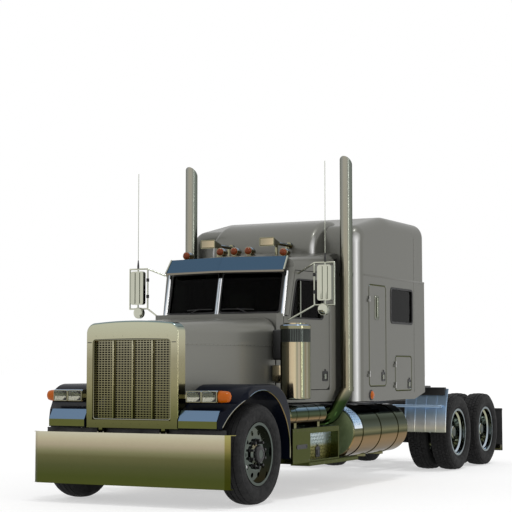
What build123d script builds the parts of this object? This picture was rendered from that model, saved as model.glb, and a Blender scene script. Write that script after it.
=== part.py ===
from build123d import *
import math
import os

# Long-nose highway tractor with a walk-in sleeper.
# Millimetres; X forward, Y to the driver's left, Z up from the road.
# Places along the truck are measured from the front axle and shifted at the end.

# Overall
FRONT_END = 710.0
REAR_END = -8100.0
CLEAR = 0.3
DOOR_GAP = 8.0

# Door hinges: barrel standing off the door's face
HINGE_OUT = 12.0
HINGE_R = 11.0
HINGE_PIN_R = 5.0
HINGE_H = 36.0
CAB_HINGES = (1320.0, 1880.0)
SLP_HINGES = (1360.0, 2280.0)
LOCKER_HINGES = (1215.0, 1480.0)

# Wheels and tyres
TYRE_R = 530.0
TYRE_W = 280.0
TREAD_W = 226.0
RIM_R = 330.0
BEAD_R = 311.0
RIM_W = 222.0
FRONT_TRACK_Y = 1058.0
DUAL_OUTER_Y = 1081.0
DUAL_INNER_Y = 741.0
REAR_AXLE_X = -6150.0
TANDEM = 1220.0
HUB_BORE_R = 55.0
HAND_HOLES = 10

# Steering
KINGPIN_Y = 880.0
KINGPIN_R = 24.0
STEER_ARM = 170.0
TIE_ROD_Z = 395.0
TIE_PIN_R = 14.0

# Frame
RAIL_OUT_Y = 430.0
RAIL_H = 270.0
RAIL_TOP = 970.0
RAIL_FLANGE = 90.0
RAIL_T = 9.0
RAIL_FRONT = 490.0
RAIL_REAR = -8010.0

# Bumper
BUMPER_Z0 = 205.0
BUMPER_Z1 = 752.0
BUMPER_FOLD_Y = 1145.0
BUMPER_END_Y = 1229.0
BUMPER_T = 6.0
BUMPER_DEPTH = 40.0

# Hood, grille and fenders
HOOD_PIVOT_X = 620.0
HOOD_PIVOT_Z = 786.0
SHELL_FRONT = 660.0
SHELL_BACK = 505.0
SHELL_HALF_W = 567.0
SHELL_Z0 = 802.0
SHELL_Z1 = 1905.0
GRILLE_HALF_W = 482.0
GRILLE_Z0 = 884.0
GRILLE_Z1 = 1732.0
HOOD_REAR = -1120.0
HOOD_REAR_HALF_W = 800.0
HOOD_REAR_TOP = 2005.0
HOOD_BOTTOM = 1080.0
HOOD_T = 26.0
ARCH_R = 664.0
FENDER_IN_Y = 572.0
FENDER_OUT_Y = 1212.0
FENDER_TOP = 1256.0
FENDER_REAR = -682.0
FENDER_FOOT = 445.0
LAMP_Z0 = 1069.0
LAMP_Z1 = 1199.0
LAMP_FRONT = 612.0

# Cab
CAB_HALF_W = 970.0
CAB_TAPER = 9.7
CAB_WALL = 60.0
CAB_Z0 = 1034.0
COWL_FRONT = -1150.0
COWL_HALF_W = 800.0
COWL_TOP = 2052.0
CAB_SIDE_FRONT = -1292.0
CAB_REAR = -2360.0
PIPE_RELIEF = 110.0
BOOT_HALF_W = 860.0
HEADER_TOP = 2600.0
SCREEN_X = -1202.0
SCREEN_Z0 = 2051.0
SCREEN_H = 489.0
SCREEN_HALF_W = 740.0
SCREEN_SWEEP = 146.0 / 740.0
SCREEN_RAKE = 111.0 / 489.0
SCREEN_T = 45.0
PILLAR_W = 50.0
DOOR_FRONT = -1300.0
DOOR_REAR = -2220.0
DOOR_Z0 = 1180.0
DOOR_Z1 = 2560.0
DOOR_STEP_Z = 2024.0
DOOR_WIN_Z0 = 2005.0
DOOR_WIN_Z1 = 2462.0
ROOF_FRONT = -1345.0
ROOF_EDGE_FRONT = 2690.0
ROOF_EDGE_REAR = 2838.0
ROOF_CROWN = 40.0
ROOF_CORNER_FRONT = 80.0
ROOF_CORNER_REAR = 200.0

# Sleeper
SLP_HALF_W = 1187.0
SLP_WALL = 45.0
SLP_FRONT = -2620.0
SLP_BACK = -4455.0
SLP_REAR = -4850.0
SLP_Z0 = 1027.0
SLP_SEAM = 2575.0
SLP_TOP = 3360.0
SLP_CORNER_R = 150.0
SLP_DOOR = (-2925.0, -3490.0, 1200.0, 2470.0)
SLP_WINDOW = (-3650.0, -4400.0, 2008.0, 2452.0)
LOCKER = (-3780.0, -4370.0, 1135.0, 1592.0)

# Side gear
STACK_X = -2490.0
STACK_Y = 1082.0
STACK_R = 76.0
STACK_TOP = 4000.0
TANK_R = 304.0
TANK_Y = 912.0
TANK_Z = 665.0
TANK_X0 = -2395.0
TANK_X1 = -4150.0
BOX_X0 = -765.0
BOX_X1 = -2000.0
BOX_Y1 = 1193.0
BOX_Z0 = 380.0
BOX_Z1 = 761.0
CLEANER_X = -1072.0
CLEANER_Y = 1080.0
CLEANER_R = 171.0

# Fifth wheel
FIFTH_X = -6760.0
FIFTH_TOP = 1170.0
FIFTH_AXIS_Z = 1075.0
FIFTH_HALF_W = 457.0
KINGPIN_LOCK_R = 25.4

ORIGIN_X = (FRONT_END + REAR_END) / 2


def block(x0, x1, y0, y1, z0, z1):
    size = Box(abs(x1 - x0), abs(y1 - y0), abs(z1 - z0))
    return Pos((x0 + x1) / 2, (y0 + y1) / 2, (z0 + z1) / 2) * size


def rod(start, end, radius):
    a = Vector(*start)
    b = Vector(*end)
    along = b - a
    frame = Plane(origin=a, z_dir=along)
    return frame * Cylinder(radius, along.length, align=(Align.CENTER, Align.CENTER, Align.MIN))


def side_plate(points, y0, y1):
    outline = Polyline(*[(x, y0, z) for x, z in points], close=True)
    return extrude(make_face(outline), amount=y1 - y0, dir=(0, 1, 0))


def plan_plate(points, z0, z1):
    outline = Polyline(*[(x, y, z0) for x, y in points], close=True)
    return extrude(make_face(outline), amount=z1 - z0, dir=(0, 0, 1))


def rounded_side_plate(x0, x1, z0, z1, radius, y0, y1):
    lo, hi = min(x0, x1), max(x0, x1)
    face = RectangleRounded(hi - lo, z1 - z0, radius)
    face = Plane(origin=((lo + hi) / 2, y0, (z0 + z1) / 2), x_dir=(1, 0, 0), z_dir=(0, 1, 0)) * face
    return extrude(face, amount=y1 - y0, dir=(0, 1, 0))


def right_hand(solid):
    return mirror(solid, about=Plane.XZ)


def both(solid):
    return [solid, right_hand(solid)]


def swung_point(x, y):
    turn = math.radians(CAB_TAPER)
    along = x - DOOR_REAR
    out = y - CAB_HALF_W
    return (DOOR_REAR + along * math.cos(turn) + out * math.sin(turn),
            CAB_HALF_W - along * math.sin(turn) + out * math.cos(turn))


def swung(shape):
    return Pos(DOOR_REAR, CAB_HALF_W, 0) * Rot(0, 0, -CAB_TAPER) * Pos(-DOOR_REAR, -CAB_HALF_W, 0) * shape


def cab_y(x):
    return CAB_HALF_W - (x - DOOR_REAR) * math.tan(math.radians(CAB_TAPER))


def both_edges(half):
    return half + [(x, -y) for x, y in reversed(half)]


def hinge_fixed(x, y_face, z, lead):
    y = y_face + HINGE_OUT
    half = rod((x, y, z - HINGE_H), (x, y, z), HINGE_R) + rod((x, y, z - 1), (x, y, z + HINGE_H), HINGE_PIN_R)
    return half + block(x, x + lead, y_face - 18, y, z - HINGE_H, z)


def hinge_moving(x, y_face, z):
    y = y_face + HINGE_OUT
    half = rod((x, y, z + 0.5), (x, y, z + HINGE_H), HINGE_R)
    half += block(x - 52, x, y_face - 2, y, z + 0.5, z + HINGE_H)
    half -= block(x - DOOR_GAP / 2, x + 20, y_face - 5, y_face, z, z + HINGE_H + 1)
    return half - rod((x, y, z - 1), (x, y, z + HINGE_H + 1), HINGE_PIN_R + 0.05)


def save(name, *shapes):
    solids = []
    for shape in shapes:
        solids += list(shape.solids())
    moved = [Pos(-ORIGIN_X, 0, 0) * s for s in solids]
    whole = moved[0] if len(moved) == 1 else Compound(children=moved)
    export_step(whole, "parts/" + name + ".step")


os.makedirs("parts", exist_ok=True)


# Wheels: rim, disc and hub turned about the axle, with hand holes
def ring_profile(points, centre_y, axle_x):
    outline = Polyline(*[(axle_x, centre_y + y, TYRE_R + r) for y, r in points], close=True)
    axis = Axis((axle_x, 0, TYRE_R), (0, 1, 0))
    return revolve(make_face(outline), axis, 360)


def tyre(centre_y, axle_x):
    w = TYRE_W / 2
    t = TREAD_W / 2
    b = RIM_W / 2 - 12
    x = axle_x
    c = centre_y

    def p(y, r):
        return (x, c + y, TYRE_R + r)

    outer = [
        Line(p(-b, BEAD_R + CLEAR), p(-b, RIM_R + 4)),
        ThreePointArc(p(-b, RIM_R + 4), p(-w, 415), p(-t, TYRE_R - 16)),
        ThreePointArc(p(-t, TYRE_R - 16), p(0, TYRE_R), p(t, TYRE_R - 16)),
        ThreePointArc(p(t, TYRE_R - 16), p(w, 415), p(b, RIM_R + 4)),
        Line(p(b, RIM_R + 4), p(b, BEAD_R + CLEAR)),
        Line(p(b, BEAD_R + CLEAR), p(b - 22, BEAD_R + CLEAR)),
        Line(p(b - 22, BEAD_R + CLEAR), p(b + 8, 420)),
        Line(p(b + 8, 420), p(t - 18, TYRE_R - 38)),
        Line(p(t - 18, TYRE_R - 38), p(-t + 18, TYRE_R - 38)),
        Line(p(-t + 18, TYRE_R - 38), p(-b - 8, 420)),
        Line(p(-b - 8, 420), p(-b + 22, BEAD_R + CLEAR)),
        Line(p(-b + 22, BEAD_R + CLEAR), p(-b, BEAD_R + CLEAR)),
    ]
    return revolve(make_face(outer), Axis((x, 0, TYRE_R), (0, 1, 0)), 360)


def rim_ring(centre_y, axle_x):
    w = RIM_W / 2
    half = [(w - 78, BEAD_R - 28), (w - 60, BEAD_R - 4), (w - 12, BEAD_R), (w - 12, RIM_R), (w, RIM_R),
            (w, BEAD_R - 10), (w - 58, BEAD_R - 14), (w - 76, BEAD_R - 38)]
    points = half + [(-y, r) for y, r in reversed(half)]
    return ring_profile(points, centre_y, axle_x)


def disc_ring(axle_x, inner_r, face_y, end_y, end_r):
    out = 13 if end_y < face_y else -13
    points = [(face_y, inner_r), (face_y, 182), (end_y, end_r), (end_y - out, end_r), (face_y - out, 176),
              (face_y - out, inner_r)]
    return ring_profile(points, 0, axle_x)


def hub_ring(axle_x, face_y, in_y, out_y):
    points = [(in_y, HUB_BORE_R), (in_y, 112), (face_y, 112), (face_y + 22, 88), (out_y - 14, 82), (out_y, 60),
              (out_y, 0), (out_y - 14, 0), (out_y - 14, HUB_BORE_R)]
    return ring_profile(points, 0, axle_x)


def pierced(disc, axle_x, y):
    for i in range(HAND_HOLES):
        a = 2 * math.pi * i / HAND_HOLES
        centre = (axle_x + 228 * math.cos(a), y, TYRE_R + 228 * math.sin(a))
        disc -= Pos(*centre) * Rot(90, 0, 0) * Cylinder(26, 150)
    return disc


def front_wheel():
    face_y = FRONT_TRACK_Y + 72
    disc = disc_ring(0, 100, face_y, face_y - 14, BEAD_R - 13)
    return rim_ring(FRONT_TRACK_Y, 0) + pierced(disc, 0, face_y - 7) + hub_ring(0, face_y, 985, 1196)


def dual_wheels(axle_x):
    face_y = (DUAL_OUTER_Y + DUAL_INNER_Y) / 2
    end_in = RIM_W / 2 - 8
    outer = disc_ring(axle_x, 100, face_y, DUAL_OUTER_Y - end_in, BEAD_R - 7)
    inner = disc_ring(axle_x, 100, face_y - 0.5, DUAL_INNER_Y + end_in, BEAD_R - 7)
    pair = pierced(outer, axle_x, face_y + 30) + pierced(inner, axle_x, face_y - 30)
    pair += rim_ring(DUAL_OUTER_Y, axle_x)
    pair += rim_ring(DUAL_INNER_Y, axle_x)
    return pair + hub_ring(axle_x, face_y + 13, 700, 1130)


single = front_wheel()
save("wheel_front_left", single)
save("wheel_front_right", right_hand(single))
save("tyre_front_left", tyre(FRONT_TRACK_Y, 0))
save("tyre_front_right", tyre(-FRONT_TRACK_Y, 0))

for label, axle_x in (("mid", REAR_AXLE_X), ("rear", REAR_AXLE_X - TANDEM)):
    twin = dual_wheels(axle_x)
    pair = tyre(DUAL_OUTER_Y, axle_x), tyre(DUAL_INNER_Y, axle_x)
    save("wheels_" + label + "_left", twin)
    save("wheels_" + label + "_right", right_hand(twin))
    save("tyres_" + label + "_left", *pair)
    save("tyres_" + label + "_right", *[right_hand(t) for t in pair])


# Front axle beam with kingpin eyes
beam_half = [(640, 478), (830, 560), (KINGPIN_Y, 560), (KINGPIN_Y, 496), (840, 490), (660, 372)]
beam_points = beam_half + [(-y, z) for y, z in reversed(beam_half)]
beam_outline = Polyline(*[(-45, y, z) for y, z in beam_points], close=True)
beam = extrude(make_face(beam_outline), amount=90, dir=(1, 0, 0))
for end in (1, -1):
    beam += Pos(0, end * KINGPIN_Y, TYRE_R) * Cylinder(46, 140)
for end in (1, -1):
    beam -= Pos(0, end * KINGPIN_Y, TYRE_R) * Cylinder(KINGPIN_R + CLEAR, 400)
web = [(-620, 400), (620, 400), (620, 450), (-620, 450)]
for face in (1, -1):
    cut = Polyline(*[(face * 45, y, z) for y, z in web], close=True)
    beam -= extrude(make_face(cut), amount=28, dir=(-face, 0, 0))
save("front_axle", beam)

# Knuckles: fork, kingpin, spindle and steering arm
fork = block(-44, 44, 836, 976, 604, 640) + block(-44, 44, 836, 976, 420, 456)
fork += block(-44, 44, 934, 978, 420, 640)
fork += rod((0, KINGPIN_Y, 412), (0, KINGPIN_Y, 648), KINGPIN_R)
fork += rod((0, 976, 530), (0, 1170, 530), HUB_BORE_R - 0.5)
arm_points = [(-20, 862), (-STEER_ARM - 24, 862), (-STEER_ARM - 24, 898), (-20, 898)]
arm = plan_plate(arm_points, 420, 450)
pin = rod((-STEER_ARM, KINGPIN_Y, TIE_ROD_Z - 28), (-STEER_ARM, KINGPIN_Y, 425), TIE_PIN_R)
knuckle = fork + arm + pin
save("knuckle_left", knuckle)
save("knuckle_right", right_hand(knuckle))

# Tie rod with an eye at each end
tie = rod((-STEER_ARM, -KINGPIN_Y, TIE_ROD_Z), (-STEER_ARM, KINGPIN_Y, TIE_ROD_Z), 20)
for end in (1, -1):
    tie += Pos(-STEER_ARM, end * KINGPIN_Y, TIE_ROD_Z) * Cylinder(29, 44)
for end in (1, -1):
    tie -= Pos(-STEER_ARM, end * KINGPIN_Y, TIE_ROD_Z) * Cylinder(TIE_PIN_R + CLEAR, 120)
save("tie_rod", tie)

# Rear axle housings: tube, banjo and pinion nose
rear_axles = []
for axle_x in (REAR_AXLE_X, REAR_AXLE_X - TANDEM):
    housing = ring_profile(
        [(-690, 0), (-690, 78), (-300, 84), (-190, 150), (-110, 222), (110, 222), (190, 150), (300, 84), (690, 78),
         (690, 0)],
        0, axle_x)
    housing += rod((axle_x, -1080, TYRE_R), (axle_x, 1080, TYRE_R), HUB_BORE_R - 0.5)
    housing += rod((axle_x, 0, TYRE_R + 40), (axle_x + 330, 0, TYRE_R + 40), 96)
    rear_axles.append(housing)
save("rear_axles", *rear_axles)


# Suspension: front leaf packs with hangers, rear trailing arms with air bags
def leaf_pack():
    y0, y1 = 345, 425
    rear_eye, front_eye = -560.0, 460.0
    outline = [Line((rear_eye, y0, 660), (rear_eye, y0, 640)),
               ThreePointArc((rear_eye, y0, 640), (0, y0, 484), (front_eye, y0, 640)),
               Line((front_eye, y0, 640), (front_eye, y0, 660)),
               ThreePointArc((front_eye, y0, 660), (0, y0, 532), (rear_eye, y0, 660))]
    leaf = extrude(make_face(outline), amount=y1 - y0, dir=(0, 1, 0))
    leaf += block(410, 470, y0 + 10, y1 - 10, 610, RAIL_TOP - RAIL_H)
    leaf += block(-570, -500, y0 + 10, y1 - 10, 610, RAIL_TOP - RAIL_H)
    leaf += block(-70, 70, y0 - 10, y1 + 10, 478 + CLEAR, 560)
    return leaf


def trailing_arm(axle_x):
    y0, y1 = 345, 425
    profile = [(560, 700), (500, 700), (470, 450), (-430, 400), (-430, 360), (-60, 360), (470, 395), (560, 470)]
    arm = side_plate([(axle_x + along, z) for along, z in profile], y0, y1)
    arm += block(axle_x - 70, axle_x + 70, y0, y1, 400, 470)
    arm += rod((axle_x - 330, 385, 390), (axle_x - 330, 385, RAIL_TOP - RAIL_H), 105)
    return arm - rod((axle_x, 200, TYRE_R), (axle_x, 600, TYRE_R), 84.0)


springs = both(leaf_pack())
for axle_x in (REAR_AXLE_X, REAR_AXLE_X - TANDEM):
    springs += both(trailing_arm(axle_x))
save("suspension", *springs)

# Frame: two channel rails, crossmembers between their webs and a deck plate behind the sleeper
rail_z0 = RAIL_TOP - RAIL_H
rail = block(RAIL_REAR, RAIL_FRONT, RAIL_OUT_Y - RAIL_FLANGE, RAIL_OUT_Y, rail_z0, RAIL_TOP)
rail -= block(RAIL_REAR - 1, RAIL_FRONT + 1, RAIL_OUT_Y - RAIL_FLANGE - 1, RAIL_OUT_Y - RAIL_T, rail_z0 + RAIL_T,
              RAIL_TOP - RAIL_T)
frame = both(rail)
CROSSMEMBERS = (
    # x centre, length along the truck, bottom, top
    (430.0, 90.0, 760.0, 930.0),
    (-2150.0, 70.0, 790.0, 950.0),
    (-3300.0, 70.0, 790.0, 950.0),
    (-4450.0, 70.0, 790.0, 950.0),
    (-5500.0, 70.0, 790.0, 950.0),
    (-6760.0, 160.0, 820.0, 950.0),
    (-7960.0, 70.0, 720.0, 950.0),
)
for x, long, z0, z1 in CROSSMEMBERS:
    half = RAIL_OUT_Y - RAIL_T - CLEAR
    member = block(x - long / 2, x + long / 2, -half, half, z0, z1)
    member -= block(x - long / 2 + 9, x + long / 2 + 1, -half + 12, half - 12, z0 + 9, z1 - 9)
    frame.append(member)
frame.append(block(-5720, -4900, -RAIL_OUT_Y, RAIL_OUT_Y, RAIL_TOP + CLEAR, RAIL_TOP + CLEAR + 8))
save("frame", *frame)

# Engine as one plain block, gearbox and shafts behind it
save("engine", block(-950, 190, -330, 330, 575, 1580))
gearbox = loft([
    Plane((-950 - CLEAR, 0, 760), x_dir=(0, 1, 0), z_dir=(-1, 0, 0)) * RectangleRounded(560, 520, 120),
    Plane((-1250, 0, 720), x_dir=(0, 1, 0), z_dir=(-1, 0, 0)) * RectangleRounded(380, 380, 100),
])
gearbox += loft([
    Plane((-1250, 0, 720), x_dir=(0, 1, 0), z_dir=(-1, 0, 0)) * RectangleRounded(380, 380, 100),
    Plane((-1850, 0, 690), x_dir=(0, 1, 0), z_dir=(-1, 0, 0)) * RectangleRounded(260, 260, 90),
])
gearbox += rod((-1840, 0, 690), (-1950, 0, 690), 60)
shaft_end_x = REAR_AXLE_X + 330 + 2.9
shaft = rod((-1950 - CLEAR, 0, 690), (-4450, 0, 640), 52)
shaft += rod((-4450, 0, 640), (shaft_end_x, 0, TYRE_R + 40), 52)
shaft += block(-4480, -4420, -90, 90, 600, 790 - CLEAR)
axle_link = rod((REAR_AXLE_X - 222.5, 0, TYRE_R + 40), (REAR_AXLE_X - TANDEM + 330 + CLEAR, 0, TYRE_R + 40), 48)
save("driveline", gearbox, shaft, axle_link)

# Radiator on the front of the rails
core = block(335, 445, -450, 450, RAIL_TOP, 1760)
core += block(300, 335, -400, 400, 1080, 1700)
core -= rod((300 - 1, 0, 1390), (336, 0, 1390), 290)
save("radiator", core)

# Bumper: folded sheet with turned-in edges, arms to the rails and hood pivot cheeks
fold_x = FRONT_END
wing_x = fold_x - (BUMPER_END_Y - BUMPER_FOLD_Y) * 0.66
back_x = fold_x - BUMPER_DEPTH
plan = [(fold_x, -BUMPER_FOLD_Y), (fold_x, BUMPER_FOLD_Y), (wing_x, BUMPER_END_Y), (wing_x - 34, BUMPER_END_Y),
        (back_x, BUMPER_FOLD_Y - 6), (back_x, -BUMPER_FOLD_Y + 6), (wing_x - 34, -BUMPER_END_Y),
        (wing_x, -BUMPER_END_Y)]
bumper = plan_plate(plan, BUMPER_Z0, BUMPER_Z1)
inner_plan = [(fold_x - BUMPER_T, -BUMPER_FOLD_Y), (fold_x - BUMPER_T, BUMPER_FOLD_Y),
              (wing_x - BUMPER_T * 1.2, BUMPER_END_Y + 20), (wing_x - 60, BUMPER_END_Y + 20),
              (back_x - 20, BUMPER_FOLD_Y - 6), (back_x - 20, -BUMPER_FOLD_Y + 6),
              (wing_x - 60, -BUMPER_END_Y - 20), (wing_x - BUMPER_T * 1.2, -BUMPER_END_Y - 20)]
bumper -= plan_plate(inner_plan, BUMPER_Z0 + BUMPER_T, BUMPER_Z1 - BUMPER_T)
for end in (1, -1):
    taper = Polyline((500, end * 1205, BUMPER_Z0 - 1), (500, end * 1240, BUMPER_Z1 - 120),
                     (500, end * 1260, BUMPER_Z0 - 1), close=True)
    bumper -= extrude(make_face(taper), amount=300, dir=(1, 0, 0))
cheeks = []
for y0 in (342.0, 413.0):
    cheek = block(RAIL_FRONT, FRONT_END - BUMPER_T, y0, y0 + 15, 690, 745)
    cheek += block(HOOD_PIVOT_X - 24, HOOD_PIVOT_X + 24, y0, y0 + 15, 740, HOOD_PIVOT_Z)
    cheek += rod((HOOD_PIVOT_X, y0, HOOD_PIVOT_Z), (HOOD_PIVOT_X, y0 + 15, HOOD_PIVOT_Z), 24)
    cheeks.append(cheek)
arms = cheeks[0] + cheeks[1] + rod((HOOD_PIVOT_X, 342, HOOD_PIVOT_Z), (HOOD_PIVOT_X, 428, HOOD_PIVOT_Z), 13)
arms += block(RAIL_FRONT, RAIL_FRONT + 12, 342, 428, 690, 745)
bumper += arms + right_hand(arms)
save("bumper", bumper)


# Grille surround with pivot ears, and grille bars inside it
def shell_outline(half_w, z0, z1, corner, crown, x):
    pts = [(x, -half_w, z0), (x, half_w, z0), (x, half_w, z1 - corner), (x, -half_w, z1 - corner)]
    k = corner * (1 - math.sqrt(0.5))
    edges = [
        Line(pts[0], pts[1]),
        Line(pts[1], pts[2]),
        ThreePointArc(pts[2], (x, half_w - k, z1 - k), (x, half_w - corner, z1)),
        ThreePointArc((x, half_w - corner, z1), (x, 0, z1 + crown), (x, -half_w + corner, z1)),
        ThreePointArc((x, -half_w + corner, z1), (x, -half_w + k, z1 - k), pts[3]),
        Line(pts[3], pts[0]),
    ]
    return make_face(edges)


surround = extrude(shell_outline(SHELL_HALF_W, SHELL_Z0, SHELL_Z1, 110, 22, SHELL_BACK),
                   amount=SHELL_FRONT - SHELL_BACK, dir=(1, 0, 0))
front_rim = surround.faces().sort_by(Axis.X)[-1].edges()
surround = fillet([e for e in front_rim if e.center().Z > SHELL_Z0 + 5], 26)
surround -= extrude(shell_outline(GRILLE_HALF_W, GRILLE_Z0, GRILLE_Z1, 40, 6, SHELL_BACK - 5),
                    amount=400, dir=(1, 0, 0))
surround -= extrude(shell_outline(SHELL_HALF_W - 24, GRILLE_Z0 - 50, SHELL_Z1 - 26, 100, 20, SHELL_BACK - 5),
                    amount=SHELL_FRONT - SHELL_BACK - 40, dir=(1, 0, 0))
for end in (1, -1):
    ear = block(HOOD_PIVOT_X - 24, HOOD_PIVOT_X + 24, end * 364, end * 406, HOOD_PIVOT_Z, SHELL_Z0 + 6)
    ear += rod((HOOD_PIVOT_X, end * 364, HOOD_PIVOT_Z), (HOOD_PIVOT_X, end * 406, HOOD_PIVOT_Z), 24)
    ear -= rod((HOOD_PIVOT_X, end * 350, HOOD_PIVOT_Z), (HOOD_PIVOT_X, end * 420, HOOD_PIVOT_Z), 13 + CLEAR)
    for y0, y1 in ((334, 361), (409, 436)):
        surround -= rod((HOOD_PIVOT_X, end * y0, HOOD_PIVOT_Z), (HOOD_PIVOT_X, end * y1, HOOD_PIVOT_Z), 31)
    surround += ear
save("grille_surround", surround)

grille_x0 = SHELL_FRONT - 45 - 22
grille = block(grille_x0, grille_x0 + 22 - CLEAR, -GRILLE_HALF_W - 16, GRILLE_HALF_W + 16, GRILLE_Z0 - 16,
               GRILLE_Z1 + 16)
COLUMNS = 4
panel_w = 2 * GRILLE_HALF_W / COLUMNS
slots = []
SLOTS = 5
for c in range(COLUMNS):
    y_left = -GRILLE_HALF_W + c * panel_w
    pitch = (panel_w - 28) / SLOTS
    for s in range(SLOTS):
        y0 = y_left + 14 + s * pitch + 7
        for row in range(4):
            z_step = (GRILLE_Z1 - GRILLE_Z0) / 4
            z0 = GRILLE_Z0 + row * z_step + 6
            slots.append(block(grille_x0 - 5, grille_x0 + 60, y0, y0 + pitch - 14, z0, z0 + z_step - 12))
grille = grille - slots
for c in range(1, COLUMNS):
    y = -GRILLE_HALF_W + c * panel_w
    grille += block(grille_x0 + 10, grille_x0 + 48, y - 11, y + 11, GRILLE_Z0 + 2, GRILLE_Z1 - 2)
save("grille", grille)


# Hood skin: arched sheet widening back to the cowl, cut round the fenders
def hood_section(x, half_w, top, corner):
    t = HOOD_T
    b = HOOD_BOTTOM
    k = corner * (1 - math.sqrt(0.5))
    ki = (corner - t) * (1 - math.sqrt(0.5))
    iw = half_w - t
    it = top - t
    ic = corner - t
    edges = [
        Line((x, half_w, b), (x, half_w, top - corner)),
        ThreePointArc((x, half_w, top - corner), (x, half_w - k, top - k), (x, half_w - corner, top)),
        Line((x, half_w - corner, top), (x, -half_w + corner, top)),
        ThreePointArc((x, -half_w + corner, top), (x, -half_w + k, top - k), (x, -half_w, top - corner)),
        Line((x, -half_w, top - corner), (x, -half_w, b)),
        Line((x, -half_w, b), (x, -iw, b)),
        Line((x, -iw, b), (x, -iw, it - ic)),
        ThreePointArc((x, -iw, it - ic), (x, -iw + ki, it - ki), (x, -iw + ic, it)),
        Line((x, -iw + ic, it), (x, iw - ic, it)),
        ThreePointArc((x, iw - ic, it), (x, iw - ki, it - ki), (x, iw, it - ic)),
        Line((x, iw, it - ic), (x, iw, b)),
        Line((x, iw, b), (x, half_w, b)),
    ]
    return make_face(edges)


hood = loft([hood_section(SHELL_BACK - CLEAR, SHELL_HALF_W - 6, SHELL_Z1, 112),
             hood_section(HOOD_REAR, HOOD_REAR_HALF_W, HOOD_REAR_TOP, 190)], ruled=True)


# Fenders: flat-topped arch over each front wheel
def fender_profile(y, grow):
    g = grow
    wheel_z = TYRE_R
    foot_in = -math.sqrt(ARCH_R ** 2 - (FENDER_FOOT - wheel_z) ** 2)
    nose_z = 806.0
    nose_in = math.sqrt(ARCH_R ** 2 - (nose_z - wheel_z) ** 2)
    return [
        Line((foot_in, y, FENDER_FOOT), (FENDER_REAR - 14 - g, y, FENDER_FOOT)),
        Line((FENDER_REAR - 14 - g, y, FENDER_FOOT), (FENDER_REAR - 14 - g, y, 830)),
        ThreePointArc((FENDER_REAR - 14 - g, y, 830), (-571.2 - g * 0.7, y, 1131.2 + g * 0.7),
                      (-270, y, FENDER_TOP + g)),
        Line((-270, y, FENDER_TOP + g), (140, y, FENDER_TOP + g)),
        ThreePointArc((140, y, FENDER_TOP + g), (318.7 + g * 0.6, y, 1203.2 + g * 0.8), (440 + g, y, 1062)),
        Line((440 + g, y, 1062), (596 + g, y, 985)),
        Line((596 + g, y, 985), (664 + g, y, 885)),
        Line((664 + g, y, 885), (658 + g, y, nose_z)),
        Line((658 + g, y, nose_z), (nose_in, y, nose_z)),
        ThreePointArc((nose_in, y, nose_z), (0, y, wheel_z + ARCH_R), (foot_in, y, FENDER_FOOT)),
    ]


fender = extrude(make_face(fender_profile(FENDER_IN_Y, 0)), amount=FENDER_OUT_Y - FENDER_IN_Y, dir=(0, 1, 0))
crown = [e for e in fender.edges() if abs(e.center().Y - FENDER_OUT_Y) < 1 and e.center().Z > 1080 and
         (e @ 0.5).Z > TYRE_R + ARCH_R + 5 or (abs(e.center().Y - FENDER_OUT_Y) < 1 and (e @ 0.5).X < -540 and
                                               (e @ 0.5).Z > 1000)]
fender = fillet(crown, 34)
fender -= block(SHELL_BACK - 6, 700, 500, SHELL_HALF_W + CLEAR, 700, 1300)
FENDER_SWEEP_X = 314.0
FENDER_NOSE_Y = 1003.0
nose_corner = [(720, FENDER_NOSE_Y), (FENDER_SWEEP_X, FENDER_OUT_Y + 1), (FENDER_SWEEP_X, 1300), (720, 1300)]
fender -= plan_plate(nose_corner, FENDER_FOOT - 50, 1300)
save("fenders", *both(fender))
hood_arch = extrude(make_face(fender_profile(400, CLEAR)), amount=800, dir=(0, 1, 0))
hood_arch += rod((0, 400, TYRE_R), (0, 1200, TYRE_R), ARCH_R + 1)
hood_arch += block(300, 700, 400, 1200, 700, 1062 + CLEAR)
hood = hood - hood_arch - right_hand(hood_arch)
save("hood", hood)

# Headlamp pods with two lamp bays and a turn-lamp end, on a bracket from the surround
pod = block(LAMP_FRONT - 130, LAMP_FRONT, 640, 1010, LAMP_Z0, LAMP_Z1)
pod = fillet(pod.edges().filter_by(Axis.Y), 18)
for y0, y1 in ((652, 816), (834, 998)):
    pod -= block(LAMP_FRONT - 14, LAMP_FRONT + 5, y0, y1, LAMP_Z0 + 14, LAMP_Z1 - 14)
turn = rod((LAMP_FRONT - 65, 1010, (LAMP_Z0 + LAMP_Z1) / 2), (LAMP_FRONT - 65, 1104, (LAMP_Z0 + LAMP_Z1) / 2), 52)
pod += turn
pod += block(LAMP_FRONT - 90, LAMP_FRONT - 40, SHELL_HALF_W + CLEAR, 645, LAMP_Z0 + 45, LAMP_Z0 + 85)
save("headlamps", *both(pod))


# Cab front: cowl, top deck, windscreen panels and pillars
def screen_point(s, t, inset=0.0):
    x = SCREEN_X - SCREEN_SWEEP * s - SCREEN_RAKE * t
    n = Vector(1, SCREEN_SWEEP, SCREEN_RAKE).normalized()
    p = Vector(x, s, SCREEN_Z0 + t) - n * inset
    return (p.X, p.Y, p.Z)


def screen_plate(corners, inset, thick):
    n = Vector(1, SCREEN_SWEEP, SCREEN_RAKE).normalized()
    outline = Polyline(*[screen_point(s, t, inset) for s, t in corners], close=True)
    return extrude(make_face(outline), amount=thick, dir=(-n.X, -n.Y, -n.Z))


def pillar_x(z):
    slope = math.tan(math.radians(CAB_TAPER))
    base = SCREEN_X - SCREEN_SWEEP * (CAB_HALF_W + DOOR_REAR * slope) - SCREEN_RAKE * (z - SCREEN_Z0)
    x = base / (1 - SCREEN_SWEEP * slope)
    return DOOR_REAR + (x - DOOR_REAR) / math.cos(math.radians(CAB_TAPER))


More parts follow.
